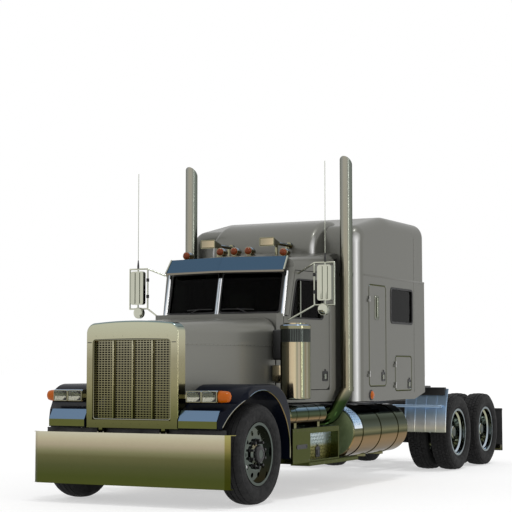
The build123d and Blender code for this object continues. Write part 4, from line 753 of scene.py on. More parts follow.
class TRACTOR_OT_wheels(bpy.types.Operator):
    """Model tyres with their tread, wheel nuts and hub caps"""
    bl_idname = "tractor.wheels"
    bl_label = "Wheels"

    def execute(self, context):
        depth = sizes().tread_depth
        centre = at(0, 0, TYRE_R)
        ribbed = turned(tyre_section(GROOVES, depth, SHOULDER_DROP), centre, LEFT, 88)
        ribbed.data.transform(Matrix.Translation((0, FRONT_TYRE_Y, 0)))
        finish_pair(ribbed, "ribbed_tyre", "wheel_front", "tyre rubber", 25, "tyre_front")
        ring = turned(tyre_section((), depth, depth), centre, LEFT, 64)
        drive = joined([ring, tread_blocks(centre)])
        for label, axle_x in REAR_AXLES:
            pair = joined([copied(drive, Matrix.Translation((axle_x, y, 0))) for y in REAR_TYRE_Y])
            finish_pair(pair, "drive_tyres_" + label, "wheels_" + label, "tyre rubber", 25, "tyres_" + label)
        bpy.data.objects.remove(drive)
        nuts = wheel_nuts(centre, HUB_FACE_Y, FRONT_NUT)
        finish_pair(nuts, "nuts_front", "wheel_front", "moulded black plastic")
        cap = turned(FRONT_CAP, centre, LEFT, 40)
        finish_pair(cap, "hub_cap_front", "wheel_front", "moulded black plastic")
        for label, axle_x in REAR_AXLES:
            middle = at(axle_x, 0, TYRE_R)
            nuts = wheel_nuts(middle, DUAL_FACE_Y, DUAL_NUT)
            finish_pair(nuts, "nuts_" + label, "wheels_" + label, "chrome plate")
            cap = turned(DUAL_CAP, middle, LEFT, 40)
            finish_pair(cap, "hub_cap_" + label, "wheels_" + label, "polished wheel aluminium")
        return {"FINISHED"}


# Nose
GRILLE_HALF = 0.482
GRILLE_LOW = 0.884
GRILLE_HIGH = 1.732
GRILLE_X = 0.606
BAR_HALF = 0.011
MESH_WEB = 0.0048
MESH_THICK = 0.004
SHELL_FACE_X = 0.660
SHELL_EDGE_Y = (GRILLE_HALF + 0.567) / 2
LAMP_BAYS = ((0.652, 0.816), (0.834, 0.998))
LAMP_LOW = 1.069
LAMP_HIGH = 1.199
LAMP_RIM = 0.014
LAMP_X = 0.612
TURN_LAMP = ((1.006, 0), (1.006, 0.062), (1.050, 0.061), (1.085, 0.058), (1.106, 0.053), (1.120, 0.036),
             (1.126, 0.015), (1.127, 0))


def upright(x, y0, y1, z0, z1):
    """Corners of a rectangle that faces straight ahead."""
    return [at(x, y0, z0), at(x, y1, z0), at(x, y1, z1), at(x, y0, z1)]


def punched_sheet(low, high, columns, rows):
    """A grid whose cells are opened, with the sheet's thickness; the sheet faces ahead."""
    clear_selection()
    bpy.ops.mesh.primitive_grid_add(x_subdivisions=columns, y_subdivisions=rows, size=1)
    obj = bpy.context.object
    for vertex in obj.data.vertices:
        across, up = vertex.co.x + 0.5, vertex.co.y + 0.5
        vertex.co = (low.x, low.y + across * (high.y - low.y), low.z + up * (high.z - low.z))
    with editing():
        punch(MESH_WEB)
    return applied(obj, "SOLIDIFY", thickness=MESH_THICK, offset=0)


class TRACTOR_OT_grille(bpy.types.Operator):
    """Model the punched grille panels, their bars and frame, and the shell's rivets and slits"""
    bl_idname = "tractor.grille"
    bl_label = "Grille"

    def execute(self, context):
        step = GRILLE_HALF / 2
        panels = []
        for number in range(4):
            left = -GRILLE_HALF + number * step
            panels.append(punched_sheet(at(GRILLE_X, left + BAR_HALF, GRILLE_LOW),
                                        at(GRILLE_X, left + step - BAR_HALF, GRILLE_HIGH),
                                        sizes().grille_columns, sizes().grille_rows))
        mesh = finish(joined(panels), "grille_mesh", "hood", "punched grille steel")
        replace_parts(mesh, "grille")
        bars = [block(at(GRILLE_X - 0.01, y - BAR_HALF, GRILLE_LOW + 0.002),
                      at(GRILLE_X + 0.034, y + BAR_HALF, GRILLE_HIGH - 0.002), 0.008, 3)
                for y in (-step, 0.0, step)]
        finish(joined(bars), "grille_bars", "hood", "grille shell stainless")
        opening = upright(GRILLE_X - 0.006, -GRILLE_HALF, GRILLE_HALF, GRILLE_LOW, GRILLE_HIGH)
        ring = frame_ring(opening, 0.013, AHEAD * 0.05, 0.035, 0.003)
        finish(ring, "grille_frame", "hood", "chrome plate")
        heads = []
        for y in (-SHELL_EDGE_Y, SHELL_EDGE_Y):
            heads += row(at(SHELL_FACE_X, y, 0.93), at(SHELL_FACE_X, y, 1.62), 8)
        for z in (0.846, 1.765):
            heads += row(at(SHELL_FACE_X, -0.44, z), at(SHELL_FACE_X, 0.44, z), 9)
        finish(rivets(heads, AHEAD, 0.005), "shell_rivets", "hood", "grille shell stainless")
        slit = block(at(SHELL_FACE_X - 0.02, GRILLE_HALF + 0.012, 1.694),
                     at(SHELL_FACE_X + 0.0015, 0.545, 1.702))
        finish_both(slit, "shell_slits", "hood", "seal rubber")
        return {"FINISHED"}


class TRACTOR_OT_lamps(bpy.types.Operator):
    """Model the headlamp reflectors, lenses, bezels and amber turn lamps"""
    bl_idname = "tractor.lamps"
    bl_label = "Headlamps"

    def execute(self, context):
        bowls, panes, bezels = [], [], []
        z0, z1 = LAMP_LOW + LAMP_RIM, LAMP_HIGH - LAMP_RIM
        for y0, y1 in LAMP_BAYS:
            bowls.append(outline(upright(LAMP_X - 0.001, y0, y1, z0, z1)))
            with editing():
                bpy.ops.mesh.inset(thickness=0.03, depth=-0.0115)
                bpy.ops.mesh.inset(thickness=0.012, depth=0.006)
            panes.append(block(at(LAMP_X - 0.001, y0 + 0.002, z0 + 0.002),
                               at(LAMP_X + 0.009, y1 - 0.002, z1 - 0.002), 0.004))
            rim = upright(LAMP_X - 0.002, y0 - 0.008, y1 + 0.008, z0 - 0.008, z1 + 0.008)
            bezels.append(frame_ring(rim, 0.010, AHEAD * 0.012, 0.016, 0.002))
        finish_both(joined(bowls), "lamp_reflectors", "hood", "lamp reflector chrome")
        finish_both(joined(panes), "lamp_lenses", "hood", "lamp glass")
        finish_both(joined(bezels), "lamp_bezels", "hood", "chrome plate")
        turn = turned(TURN_LAMP, at(LAMP_X - 0.064, 0, (LAMP_LOW + LAMP_HIGH) / 2), LEFT, 28)
        finish_both(turn, "turn_lamps", "hood", "amber acrylic", 50)
        return {"FINISHED"}


# Hood and fender trim
ARCH_R = 0.664
FENDER_Y = 1.212
FENDER_CUT_X = 0.314
FENDER_CUT_SLOPE = 0.517
FENDER_EDGE_IN = 0.004
HOOD_NOSE_X = 0.505
HOOD_NOSE_Y = 0.561
HOOD_WIDENS = 0.239 / 1.625
HOOD_OUT = Vector((0.1455, 0.9894, 0))
BELT_Z = 1.678
BELT_HALF = 0.007
BELT_THICK = 0.004
BELT_ENDS = (0.498, -1.11)
NOSE_SECTION = ((0.667, 0.812), (0.667, 0.886), (0.600, 0.992), (0.5972, 0.9895), (0.6642, 0.8847),
                (0.6642, 0.812))


def hood_side(x, z):
    """A point on the hood's flat flank, which widens from the grille shell back to the cowl."""
    return at(x, HOOD_NOSE_Y + (HOOD_NOSE_X - x) * HOOD_WIDENS, z)


def fender_side(x):
    """How far out the fender's edge lies: straight along the side, then cut back towards the nose."""
    return FENDER_Y - FENDER_EDGE_IN - max(0.0, x - FENDER_CUT_X) * FENDER_CUT_SLOPE


class TRACTOR_OT_nose_trim(bpy.types.Operator):
    """Model the hood's belt strip, fender edges, panels under the headlamps, and a dark sheet behind the
    bumper that is painted shade
    """
    bl_idname = "tractor.nose_trim"
    bl_label = "Nose trim"

    def execute(self, context):
        front, back = BELT_ENDS
        strip = prism([hood_side(front, BELT_Z - BELT_HALF), hood_side(back, BELT_Z - BELT_HALF),
                       hood_side(back, BELT_Z + BELT_HALF), hood_side(front, BELT_Z + BELT_HALF)],
                      HOOD_OUT * BELT_THICK, 0.0015)
        finish_both(strip, "belt_strip", "hood", "hood enamel painted lighter")
        heads = [p + HOOD_OUT * BELT_THICK
                 for p in row(hood_side(0.46, BELT_Z), hood_side(-1.08, BELT_Z), 22)]
        finish_both(rivets(heads, HOOD_OUT, 0.0045), "belt_rivets", "hood", "chrome plate")
        hub = at(0, 0, TYRE_R)
        edge = tube([Vector((p.x, fender_side(p.x - AXLE_X), p.z))
                     for p in arc_points(hub, ARCH_R + 0.003, 26, 186, 26, 0)], 0.007)
        finish_both(edge, "fender_edges", "hood", "chrome plate")
        panel = prism([at(x, 0.578, z) for x, z in NOSE_SECTION], LEFT * 0.452)
        finish_both(panel, "nose_panels", "hood", "nose panel stainless", 20)
        # A dark sheet behind the bumper: painted shade that fills the gap between the bumper's top and the
        # grille shell
        shelf = block(at(0.585, -1.10, 0.60), at(0.595, 1.10, 0.795), 0.003)
        finish(shelf, "bumper_gap_shade", "chassis", "chassis enamel")
        return {"FINISHED"}


# Windscreen
SCREEN_X = -1.202
SCREEN_LOW = 2.051
SWEEP = 0.146 / 0.740
RAKE = 0.111 / 0.489
SCREEN_NORMAL = Vector((1, SWEEP, RAKE)).normalized()
SCREEN_CORNERS = ((0.014, 0.006), (0.750, 0.006), (0.750, 0.499), (0.014, 0.499))


def on_screen(across, up, out=0.0):
    """A point on the left windscreen pane: across from the middle, up from the cowl and out."""
    return at(SCREEN_X - SWEEP * across - RAKE * up, across, SCREEN_LOW + up) + SCREEN_NORMAL * out


class TRACTOR_OT_windscreen(bpy.types.Operator):
    """Model the windscreen seals, centre strip, a bar on each pillar with a painted highlight, and wipers"""
    bl_idname = "tractor.windscreen"
    bl_label = "Windscreen"

    def execute(self, context):
        seal = frame_ring([on_screen(*p) for p in SCREEN_CORNERS], 0.020, SCREEN_NORMAL * 0.007, 0.05, 0.002)
        finish_both(seal, "screen_seals", "chassis", "seal rubber")
        strip = prism([on_screen(0, 0.0, 0.004), on_screen(0.020, 0.0, 0.006),
                       on_screen(0.020, 0.515, 0.006), on_screen(0, 0.515, 0.004)],
                      SCREEN_NORMAL * 0.008, 0.002)
        finish_both(strip, "screen_strip", "chassis", "pillar stainless with painted highlight")
        # A bar along each windscreen pillar that carries a painted highlight, white down its middle
        pillar = tube([on_screen(0.782, up, -0.004) for up in (-0.035, 0.1, 0.25, 0.4, 0.5)], 0.028, 4)
        finish_both(pillar, "pillar_highlight_bar", "chassis", "pillar stainless with painted highlight", 60)
        arm = tube([on_screen(0.40, -0.035, 0.012), on_screen(0.38, -0.01, 0.045),
                    on_screen(0.33, 0.03, 0.04), on_screen(0.24, 0.062, 0.024)], 0.007)
        blade = tube([on_screen(0.06, 0.055, 0.018), on_screen(0.24, 0.060, 0.022),
                      on_screen(0.44, 0.050, 0.018)], 0.006)
        pivot = turned([(0, 0), (0, 0.022), (0.022, 0.018), (0.026, 0)], on_screen(0.40, -0.035), UP, 16)
        finish_both(joined([arm, blade, pivot]), "wipers", "chassis", "moulded black plastic")
        return {"FINISHED"}


# Cab doors and sleeper
CAB_Y = 0.970
DOOR_REAR = at(-2.220, CAB_Y, 0)
CAB_TAPER = math.radians(9.7)
SLEEPER_Y = 1.187
DOOR_WINDOW = ((-1.433, 1.999), (-1.541, 2.468), (-2.106, 2.468), (-2.106, 1.999))
SLEEPER_WINDOW = (-3.638, -4.412, 1.996, 2.464)
SEAM_Z = 2.575
SLEEPER_DOOR = (-2.930, -3.485, 1.205, 2.465)
LOCKER = (-3.785, -4.365, 1.140, 1.587)
SIDE_DOORS = (
    # body, the latch's place along and up, edges
    ("sleeper_door", -3.385, 1.325, SLEEPER_DOOR),
    ("locker_door", -4.275, 1.225, LOCKER),
)
POST_X = -4.472
MARKER = at(-2.997, SLEEPER_Y, 1.098)


def on_side(y, x0, x1, z0, z1):
    """Corners of a rectangle on the left side, which faces left."""
    return [at(x0, y, z0), at(x0, y, z1), at(x1, y, z1), at(x1, y, z0)]


def swung(obj):
    """Turn a piece made flat on the left side to the cab's taper, about the door's rear edge."""
    obj.data.transform(Matrix.Translation(DOOR_REAR) @ Matrix.Rotation(-CAB_TAPER, 4, UP)
                       @ Matrix.Translation(-DOOR_REAR))
    return obj


def paddle_latch(x, y, z):
    """A paddle latch: a dished plate with its lock, and the flap."""
    edge = on_side(y - 0.001, x + 0.055, x - 0.055, z - 0.06, z + 0.06)
    pan = frame_ring(edge, 0.014, LEFT * 0.007, 0.016, 0.002)
    floor = block(at(x - 0.045, y - 0.002, z - 0.05), at(x + 0.045, y + 0.002, z + 0.05))
    lock = turned([(0, 0), (0, 0.012), (0.006, 0.011), (0.008, 0)], at(x, y + 0.002, z + 0.072), LEFT, 14)
    flap = block(at(x - 0.026, y, z - 0.036), at(x + 0.026, y + 0.012, z + 0.026), 0.005)
    return joined([pan, floor, lock]), flap


class TRACTOR_OT_doors(bpy.types.Operator):
    """Model the doors' window seals, vent bars, latches, trim and pulls"""
    bl_idname = "tractor.doors"
    bl_label = "Doors"

    def execute(self, context):
        opening = [at(x, CAB_Y - 0.002, z) for x, z in DOOR_WINDOW]
        seal = frame_ring(opening, 0.018, LEFT * 0.008, 0.05, 0.002)
        finish_pair(swung(seal), "door_seal", "door", "seal rubber")
        bar = block(at(-1.664, CAB_Y - 0.046, 2.0), at(-1.640, CAB_Y - 0.008, 2.466), 0.005)
        finish_pair(swung(bar), "vent_bar", "door", "mirror stainless")
        plate, flap = (swung(part) for part in paddle_latch(-2.135, CAB_Y, 1.335))
        finish_pair(plate, "cab_latch", "door", "moulded black plastic")
        finish_pair(flap, "cab_latch_flap", "door", "mirror stainless")
        for body, x, z, edges in SIDE_DOORS:
            plate, flap = paddle_latch(x, SLEEPER_Y, z)
            finish_pair(plate, body + "_latch", body, "moulded black plastic")
            finish_pair(flap, body + "_flap", body, "mirror stainless")
            trim = frame_ring(on_side(SLEEPER_Y - 0.001, *edges), 0.012, LEFT * 0.003, 0.055, 0.001)
            finish_pair(trim, body + "_trim", body, "step aluminium")
        edge = on_side(SLEEPER_Y - 0.001, -3.12, -3.26, 2.03, 2.335)
        pull = frame_ring(edge, 0.022, LEFT * 0.009, 0.03, 0.003)
        pan = block(at(-3.245, SLEEPER_Y - 0.003, 2.045), at(-3.135, SLEEPER_Y + 0.003, 2.32))
        grip = block(at(-3.205, SLEEPER_Y, 2.06), at(-3.175, SLEEPER_Y + 0.02, 2.305), 0.008, 3)
        finish_pair(joined([pull, pan, grip]), "sleeper_pull", "sleeper_door", "mirror stainless")
        return {"FINISHED"}


class TRACTOR_OT_sleeper(bpy.types.Operator):
    """Model the sleeper's window seals, seam strips, rivets and marker lamps"""
    bl_idname = "tractor.sleeper"
    bl_label = "Sleeper"

    def execute(self, context):
        seal = frame_ring(on_side(SLEEPER_Y - 0.016, *SLEEPER_WINDOW), 0.028, LEFT * 0.023, 0.055, 0.003)
        finish_both(seal, "sleeper_seals", "chassis", "seal rubber")
        seam = block(at(-4.85, SLEEPER_Y - 0.002, SEAM_Z - 0.011),
                     at(-2.78, SLEEPER_Y + 0.0025, SEAM_Z + 0.011), 0.001)
        head_y = SLEEPER_Y + 0.002
        post = block(at(POST_X - 0.010, SLEEPER_Y - 0.002, 1.115), at(POST_X + 0.010, head_y, 3.17), 0.001)
        finish_both(joined([seam, post]), "sleeper_seams", "chassis", "metallic grey enamel")
        heads = row(at(-4.83, head_y, SEAM_Z), at(-2.79, head_y, SEAM_Z), 26)
        heads += row(at(POST_X, head_y, 1.14), at(POST_X, head_y, 2.53), 18)
        heads += row(at(POST_X, head_y, 2.62), at(POST_X, head_y, 3.14), 8)
        finish_both(rivets(heads, LEFT, 0.0045), "sleeper_rivets", "chassis", "chrome plate")
        marker = turned([(-0.002, 0), (-0.002, 0.055), (0.012, 0.053), (0.024, 0.04), (0.030, 0.018),
                         (0.031, 0)], MARKER, LEFT, 28)
        finish_both(marker, "side_markers", "chassis", "amber acrylic", 50)
        bezel = turned([(-0.002, 0.053), (-0.002, 0.066), (0.008, 0.064), (0.012, 0.053)], MARKER, LEFT, 28)
        finish_both(bezel, "marker_bezels", "chassis", "moulded black plastic")
        return {"FINISHED"}


# Roof and mirrors
ROOF_LAMPS = ((-0.655, 2.787), (-0.190, 2.818), (0.0, 2.818), (0.190, 2.818), (0.655, 2.787))
ROOF_LAMP_X = -1.680
LAMP_SHELL = ((0.055, 0), (0.055, 0.050), (0.040, 0.052), (-0.03, 0.048), (-0.10, 0.026), (-0.135, 0.006),
              (-0.137, 0))
LAMP_LENS = ((0.050, 0), (0.050, 0.045), (0.064, 0.044), (0.080, 0.034), (0.088, 0.016), (0.090, 0))
HORN_Z = 2.925
VISOR = (at(-1.214, 0, 2.560), at(-1.368, 0.790, 2.560), at(-1.487, 0.780, 2.725), at(-1.3335, 0, 2.725))
VISOR_LIP = UP * 0.022
MIRROR_X = -1.490
BUBBLE = at(MIRROR_X, 1.240, 2.100)
MIRROR_PANE = ((1.182, 2.216), (1.332, 2.216), (1.332, 2.592), (1.182, 2.592))


class TRACTOR_OT_roof(bpy.types.Operator):
    """Model the sun visor, the horn covers and the bullet marker lamps on the roof"""
    bl_idname = "tractor.roof"
    bl_label = "Roof"

    def execute(self, context):
        low_mid, low_end, high_end, high_mid = VISOR
        face = (low_end - low_mid).cross(high_end - low_mid).normalized()
        thick = face * 0.004
        sheet = prism([low_mid, low_end, high_end, high_mid], thick)
        lip = prism([low_mid - VISOR_LIP, low_end - VISOR_LIP, low_end, low_mid], thick)
        visor = joined([sheet, lip, mirrored(sheet), mirrored(lip)])
        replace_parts(finish(visor, "visor_sheets", "chassis", "visor stainless", 20), "sun_visor")
        edge = tube([low_end.lerp(high_end, share) + thick for share in (0.0, 0.5, 1.0)], 0.011)
        finish_both(edge, "visor_edges", "chassis", "mirror stainless")
        covers = [block(at(-1.712, y - 0.089, HORN_Z - 0.043), at(-1.698, y + 0.089, HORN_Z + 0.043),
                        0.006, 3) for y in (-0.400, 0.400)]
        finish(joined(covers), "horn_covers", "chassis", "cleaner stainless")
        shells, lenses = [], []
        for y, z in ROOF_LAMPS:
            middle = at(ROOF_LAMP_X, y, z)
            shells.append(turned(LAMP_SHELL, middle, AHEAD, 24))
            shells.append(block(middle - Vector((0.085, 0.026, 0.07)),
                                middle + Vector((0.04, 0.026, -0.03)), 0.008))
            lenses.append(turned(LAMP_LENS, middle, AHEAD, 24))
        finish(joined(lenses), "roof_lamp_lenses", "chassis", "smoked amber acrylic", 50)
        shell = finish(joined(shells), "roof_lamp_shells", "chassis", "chrome plate")
        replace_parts(shell, "roof_lamps")
        return {"FINISHED"}


class TRACTOR_OT_mirrors(bpy.types.Operator):
    """Model the mirror glasses, spines and clamps"""
    bl_idname = "tractor.mirrors"
    bl_label = "Mirrors"

    def execute(self, context):
        back = MIRROR_X - 0.030
        pane = prism([at(back + 0.001, y, z) for y, z in MIRROR_PANE], -AHEAD * 0.003)
        bubble = turned([(0.018, 0), (0.018, 0.063), (0.024, 0.058), (0.030, 0.03), (0.032, 0)],
                        BUBBLE, -AHEAD, 28)
        finish_pair(joined([pane, bubble]), "mirror_glass", "door", "mirror glass", 50)
        spines = [block(at(MIRROR_X + 0.026, y - 0.010, 2.215), at(MIRROR_X + 0.042, y + 0.010, 2.593),
                        0.006) for y in (1.225, 1.290)]
        spines.append(turned([(0.018, 0), (0.018, 0.066), (0.03, 0.06), (0.042, 0.035), (0.046, 0)],
                             BUBBLE, AHEAD, 28))
        finish_pair(joined(spines), "mirror_spines", "door", "mirror stainless")
        collar = ((-0.02, 0.006), (-0.02, 0.018), (0.02, 0.018), (0.02, 0.006))
        clamps = [turned(collar, at(MIRROR_X, 1.120, z), UP, 16) for z in (2.30, 2.50)]
        clamps.append(turned([(0, 0.003), (0, 0.013), (0.03, 0.013), (0.10, 0.006), (0.10, 0.003)],
                             at(MIRROR_X, 1.257, 2.645), UP, 14))
        finish_pair(joined(clamps), "mirror_clamps", "door", "moulded black plastic")
        return {"FINISHED"}


# Side gear
CLEANER = at(-1.072, 1.080, 0)
CLEANER_R = 0.171
SCREEN_BAND = (1.717, 1.867)
BAND_WEB = 0.0032
BAND_THICK = 0.0015
SLEEVE_RADII = (CLEANER_R - 0.0075, CLEANER_R - 0.0068)
BOX_Y = 1.193
RECESS_Y = BOX_Y - 0.095
TOOTH_PITCH = 0.026
TEETH = 52
TANK_Y = 0.912
TANK_Z = 0.665
TANK = at(0, TANK_Y, TANK_Z)
TANK_R = 0.304
FILLER_LEAN = math.radians(100)
AIR_TANK = at(0, 1.052, 0.905)
AIR_TANK_R = 0.114
HOOPS = (-1.56, -1.255, -0.95)
HOOP_STEPS = ((-0.02, 0.001), (-0.02, 0.004), (0.02, 0.004), (0.02, 0.001))


def lozenges(places, long, wide, tall):
    """Raised bars of tread plate, each at its own place and turn; they stand up along their own Z."""
    bar = block((-long / 2, -wide / 2, -tall), (long / 2, wide / 2, tall))
    unpick()
    for face in bar.data.polygons:
        face.select = face.normal.z > 0.9
    with editing(whole=False):
        bpy.ops.transform.resize(value=(0.75, 0.35, 1.0))
    return spread(bar, places)


def tread_places(origin, along, up, normal, columns, rows, pitch):
    """Places for tread-plate bars on a flat sheet, leaning left and right in turn."""
    base = Matrix((along, up, normal)).transposed().to_4x4()
    places = []
    for column in range(columns):
        for line in range(rows):
            turn = math.radians(45 if (column + line) % 2 else -45)
            spot = origin + along * (column + 0.5) * pitch + up * (line + 0.5) * pitch
            places.append(Matrix.Translation(spot) @ base @ Matrix.Rotation(turn, 4, UP))
    return places


class TRACTOR_OT_air_cleaners(bpy.types.Operator):
    """Model the air cleaners' perforated bands, filters, lids, brackets and ducts"""
    bl_idname = "tractor.air_cleaners"
    bl_label = "Air cleaners"

    def execute(self, context):
        low, high = SCREEN_BAND
        clear_selection()
        middle = CLEANER + UP * (low + high) / 2
        bpy.ops.mesh.primitive_cylinder_add(vertices=56, radius=CLEANER_R - 0.003, depth=high - low,
                                            end_fill_type="NOTHING", location=middle)
        bpy.ops.object.transform_apply(location=True)
        band = bpy.context.object
        unpick()
        for edge in band.data.edges:
            a, b = (band.data.vertices[i].co for i in edge.vertices)
            edge.select = abs(a.z - b.z) > 0.01
        with editing(whole=False):
            bpy.ops.mesh.select_mode(type="EDGE")
            bpy.ops.mesh.subdivide_edgering(number_cuts=8)
            bpy.ops.mesh.select_mode(type="VERT")
            punch(BAND_WEB)
        applied(band, "SOLIDIFY", thickness=BAND_THICK, offset=0)
        inner, outer = SLEEVE_RADII
        sleeve = turned([(low, inner), (low, outer), (high, outer), (high, inner)], CLEANER, UP, 40)
        finish_both(sleeve, "cleaner_filters", "chassis", "seal rubber")
        finish_both(band, "cleaner_screens", "chassis", "polished wheel aluminium")
        lid = turned([(1.866, 0), (1.866, CLEANER_R + 0.003), (1.900, CLEANER_R + 0.003),
                      (1.912, CLEANER_R - 0.006), (1.917, CLEANER_R - 0.04), (1.917, 0)], CLEANER, UP, 48)
        foot = turned([(1.076, 0), (1.076, 0.10), (1.09, 0.13), (1.09, 0)], CLEANER, UP, 40)
        finish_both(joined([lid, foot]), "cleaner_lids", "chassis", "chrome plate")
        bracket = block(at(-1.12, 0.812, 1.28), at(-1.02, 0.925, 1.46), 0.008)
        finish_both(bracket, "cleaner_brackets", "chassis", "cleaner stainless")
        duct = block(at(-1.14, 0.812, 1.52), at(-1.02, 0.935, 1.86), 0.02, 3)
        finish_both(duct, "cleaner_ducts", "chassis", "moulded black plastic")
        return {"FINISHED"}


def tank_plate():
    """Tread plate wrapped over the outer upper quarter of a tank: a curved sheet with rows of bars."""
    bars = []
    for angle in range(14, 75, 6):
        a = math.radians(angle)
        normal = Vector((0, math.cos(a), math.sin(a)))
        along = Vector((0, -math.sin(a), math.cos(a)))
        spot = TANK + normal * (TANK_R + 0.004)
        bars += tread_places(spot + AHEAD * -2.64, AHEAD, along, normal, 7, 1, 0.032)
    turns = [math.radians(angle) for angle in range(8, 81, 6)]
    rim = [at(-2.412, TANK_Y + r * math.cos(a), TANK_Z + r * math.sin(a))
           for r, way in ((TANK_R + 0.003, 1), (TANK_R + 0.0005, -1)) for a in turns[::way]]
    return joined([lozenges(bars, 0.030, 0.010, 0.006), prism(rim, AHEAD * -0.240)])


class TRACTOR_OT_steps(bpy.types.Operator):
    """Model the step boxes' tread plate, teeth, slots and rivets, and the tanks' ends, plates and caps"""
    bl_idname = "tractor.steps"
    bl_label = "Steps and tanks"

    def execute(self, context):
        places = tread_places(at(-1.975, RECESS_Y, 0.402), AHEAD, UP, LEFT, 20, 8, 0.0375)
        sheet = block(at(-1.978, RECESS_Y - 0.001, 0.400), at(-1.222, RECESS_Y + 0.002, 0.704))
        plate = joined([lozenges(places, 0.034, 0.011, 0.006), sheet])
        finish_both(plate, "step_tread_plate", "chassis", "tread plate aluminium", 20)
        tooth_y = BOX_Y - 0.03
        tooth = prism([at(0, tooth_y, 0.376), at(-0.010, tooth_y, 0.394), at(-0.020, tooth_y, 0.376)],
                      LEFT * 0.030)
        teeth = spread(tooth, [Matrix.Translation((-1.19 - TOOTH_PITCH * i, 0, 0)) for i in range(TEETH)])
        finish_both(teeth, "step_teeth", "chassis", "step aluminium", 20)
        edge = on_side(BOX_Y - 0.001, -0.86, -1.13, 0.535, 0.585)
        slot = frame_ring(edge, 0.009, LEFT * 0.006, 0.024, 0.002)
        pad = block(at(-1.115, BOX_Y - 0.002, 0.541), at(-0.875, BOX_Y + 0.002, 0.579))
        catch = joined(list(paddle_latch(-1.60, RECESS_Y + 0.004, 0.475)))
        finish_both(joined([slot, pad, catch]), "step_slots", "chassis", "moulded black plastic")
        disc = turned([(-2.394, 0), (-2.394, TANK_R - 0.012), (-2.388, TANK_R - 0.02), (-2.380, 0.10),
                       (-2.379, 0)], TANK, AHEAD, 48)
        finish_both(disc, "tank_ends", "chassis", "tank end painted reflection")
        # Sleeves over the air tanks, with raised hoops where their straps run, that carry a painted
        # reflection
        hoops = [(x + step, AIR_TANK_R + rise) for x in HOOPS for step, rise in HOOP_STEPS]
        wrap = turned([(-1.708, 0.10), (-1.708, AIR_TANK_R + 0.001)] + hoops
                      + [(-0.802, AIR_TANK_R + 0.001), (-0.802, 0.10)], AIR_TANK, AHEAD, 48)
        finish_both(wrap, "air_tank_wraps", "chassis", "air tank aluminium")
        heads = row(at(-0.79, BOX_Y, 0.735), at(-1.97, BOX_Y, 0.735), 13)
        heads += row(at(-0.79, BOX_Y, 0.405), at(-1.18, BOX_Y, 0.405), 5)
        heads += row(at(-1.25, BOX_Y, 0.356), at(-2.5, BOX_Y, 0.356), 12)
        finish_both(rivets(heads, LEFT), "step_rivets", "chassis", "chrome plate")
        finish_both(tank_plate(), "tank_tread_plate", "chassis", "tank tread aluminium", 20)
        lean = Vector((0, math.cos(FILLER_LEAN), math.sin(FILLER_LEAN)))
        cap = turned([(TANK_R - 0.01, 0), (TANK_R - 0.01, 0.062), (TANK_R + 0.02, 0.060),
                      (TANK_R + 0.022, 0.066), (TANK_R + 0.045, 0.064), (TANK_R + 0.050, 0.05),
                      (TANK_R + 0.050, 0)], TANK + AHEAD * -2.75, lean, 28)
        finish_both(cap, "tank_caps", "chassis", "chrome plate")
        return {"FINISHED"}


# Rear
FLAP_X = -8.070
FLAP_RIBS = 12
QUARTER_ARC = ((-5.530, 0.552), (-5.540, 0.70), (-5.565, 0.85), (-5.607, 1.0), (-5.665, 1.138))
QUARTER_RIBS = (0.625, 0.765, 0.92, 1.075, 1.216)
RAIL_Y = 0.430
BOLT_COLUMNS = (-5.30, -5.40, -5.60, -6.05, -6.60, -6.92, -7.25, -7.80, -7.90, -4.40, -4.50, -2.10,
                -2.20, -3.25, -3.35)
BOLT_ROWS = (0.74, 0.84, 0.93)


class TRACTOR_OT_rear(bpy.types.Operator):
    """Model the rear fenders' ribs and pads, the mud flaps, tail lamps and frame bolts"""
    bl_idname = "tractor.rear"
    bl_label = "Rear end"

    def execute(self, context):
        ribs = [tube([at(x, y, z) for x, z in QUARTER_ARC], 0.009, 1) for y in QUARTER_RIBS]
        finish_both(joined(ribs), "quarter_fender_ribs", "chassis", "quarter fender stainless")
        pad = block(at(-5.680, 0.606, 1.055), at(-5.612, 1.190, 1.165), 0.008)
        finish_both(pad, "quarter_fender_pads", "chassis", "moulded black plastic")
        flaps = [block(at(FLAP_X - 0.008, 0.618, 0.176), at(FLAP_X + 0.008, 1.224, 0.79), 0.004)]
        for i in range(FLAP_RIBS):
            y = 0.645 + i * 0.05
            flaps.append(block(at(FLAP_X - 0.012, y - 0.008, 0.30),
                               at(FLAP_X - 0.004, y + 0.008, 0.75), 0.003))
        finish_both(joined(flaps), "mud_flaps", "chassis", "seal rubber")
        weight = block(at(FLAP_X - 0.014, 0.63, 0.19), at(FLAP_X + 0.014, 1.212, 0.27), 0.005)
        finish_both(weight, "flap_weights", "chassis", "chrome plate")
        dome = ((0, 0), (0, 0.052), (0.012, 0.050), (0.018, 0.035), (0.020, 0))
        lamps = [turned(dome, at(-8.079, y, 0.81), -AHEAD, 28) for y in (0.46, 0.585)]
        plate = block(at(-8.082, 0.395, 0.745), at(-8.060, 0.655, 0.875), 0.006)
        finish_both(joined(lamps), "tail_lamps", "chassis", "red acrylic", 50)
        finish_both(plate, "tail_lamp_plates", "chassis", "chassis enamel")
        heads = [at(x, RAIL_Y, z) for x in BOLT_COLUMNS for z in BOLT_ROWS]
        finish_both(rivets(heads, LEFT, 0.014), "frame_bolts", "chassis", "cast iron")
        return {"FINISHED"}


# Cabin
SEATS_Y = (0.430, -0.430)
DIALS_Y = (0.25, 0.36, 0.48, 0.59, -0.10, 0.03)


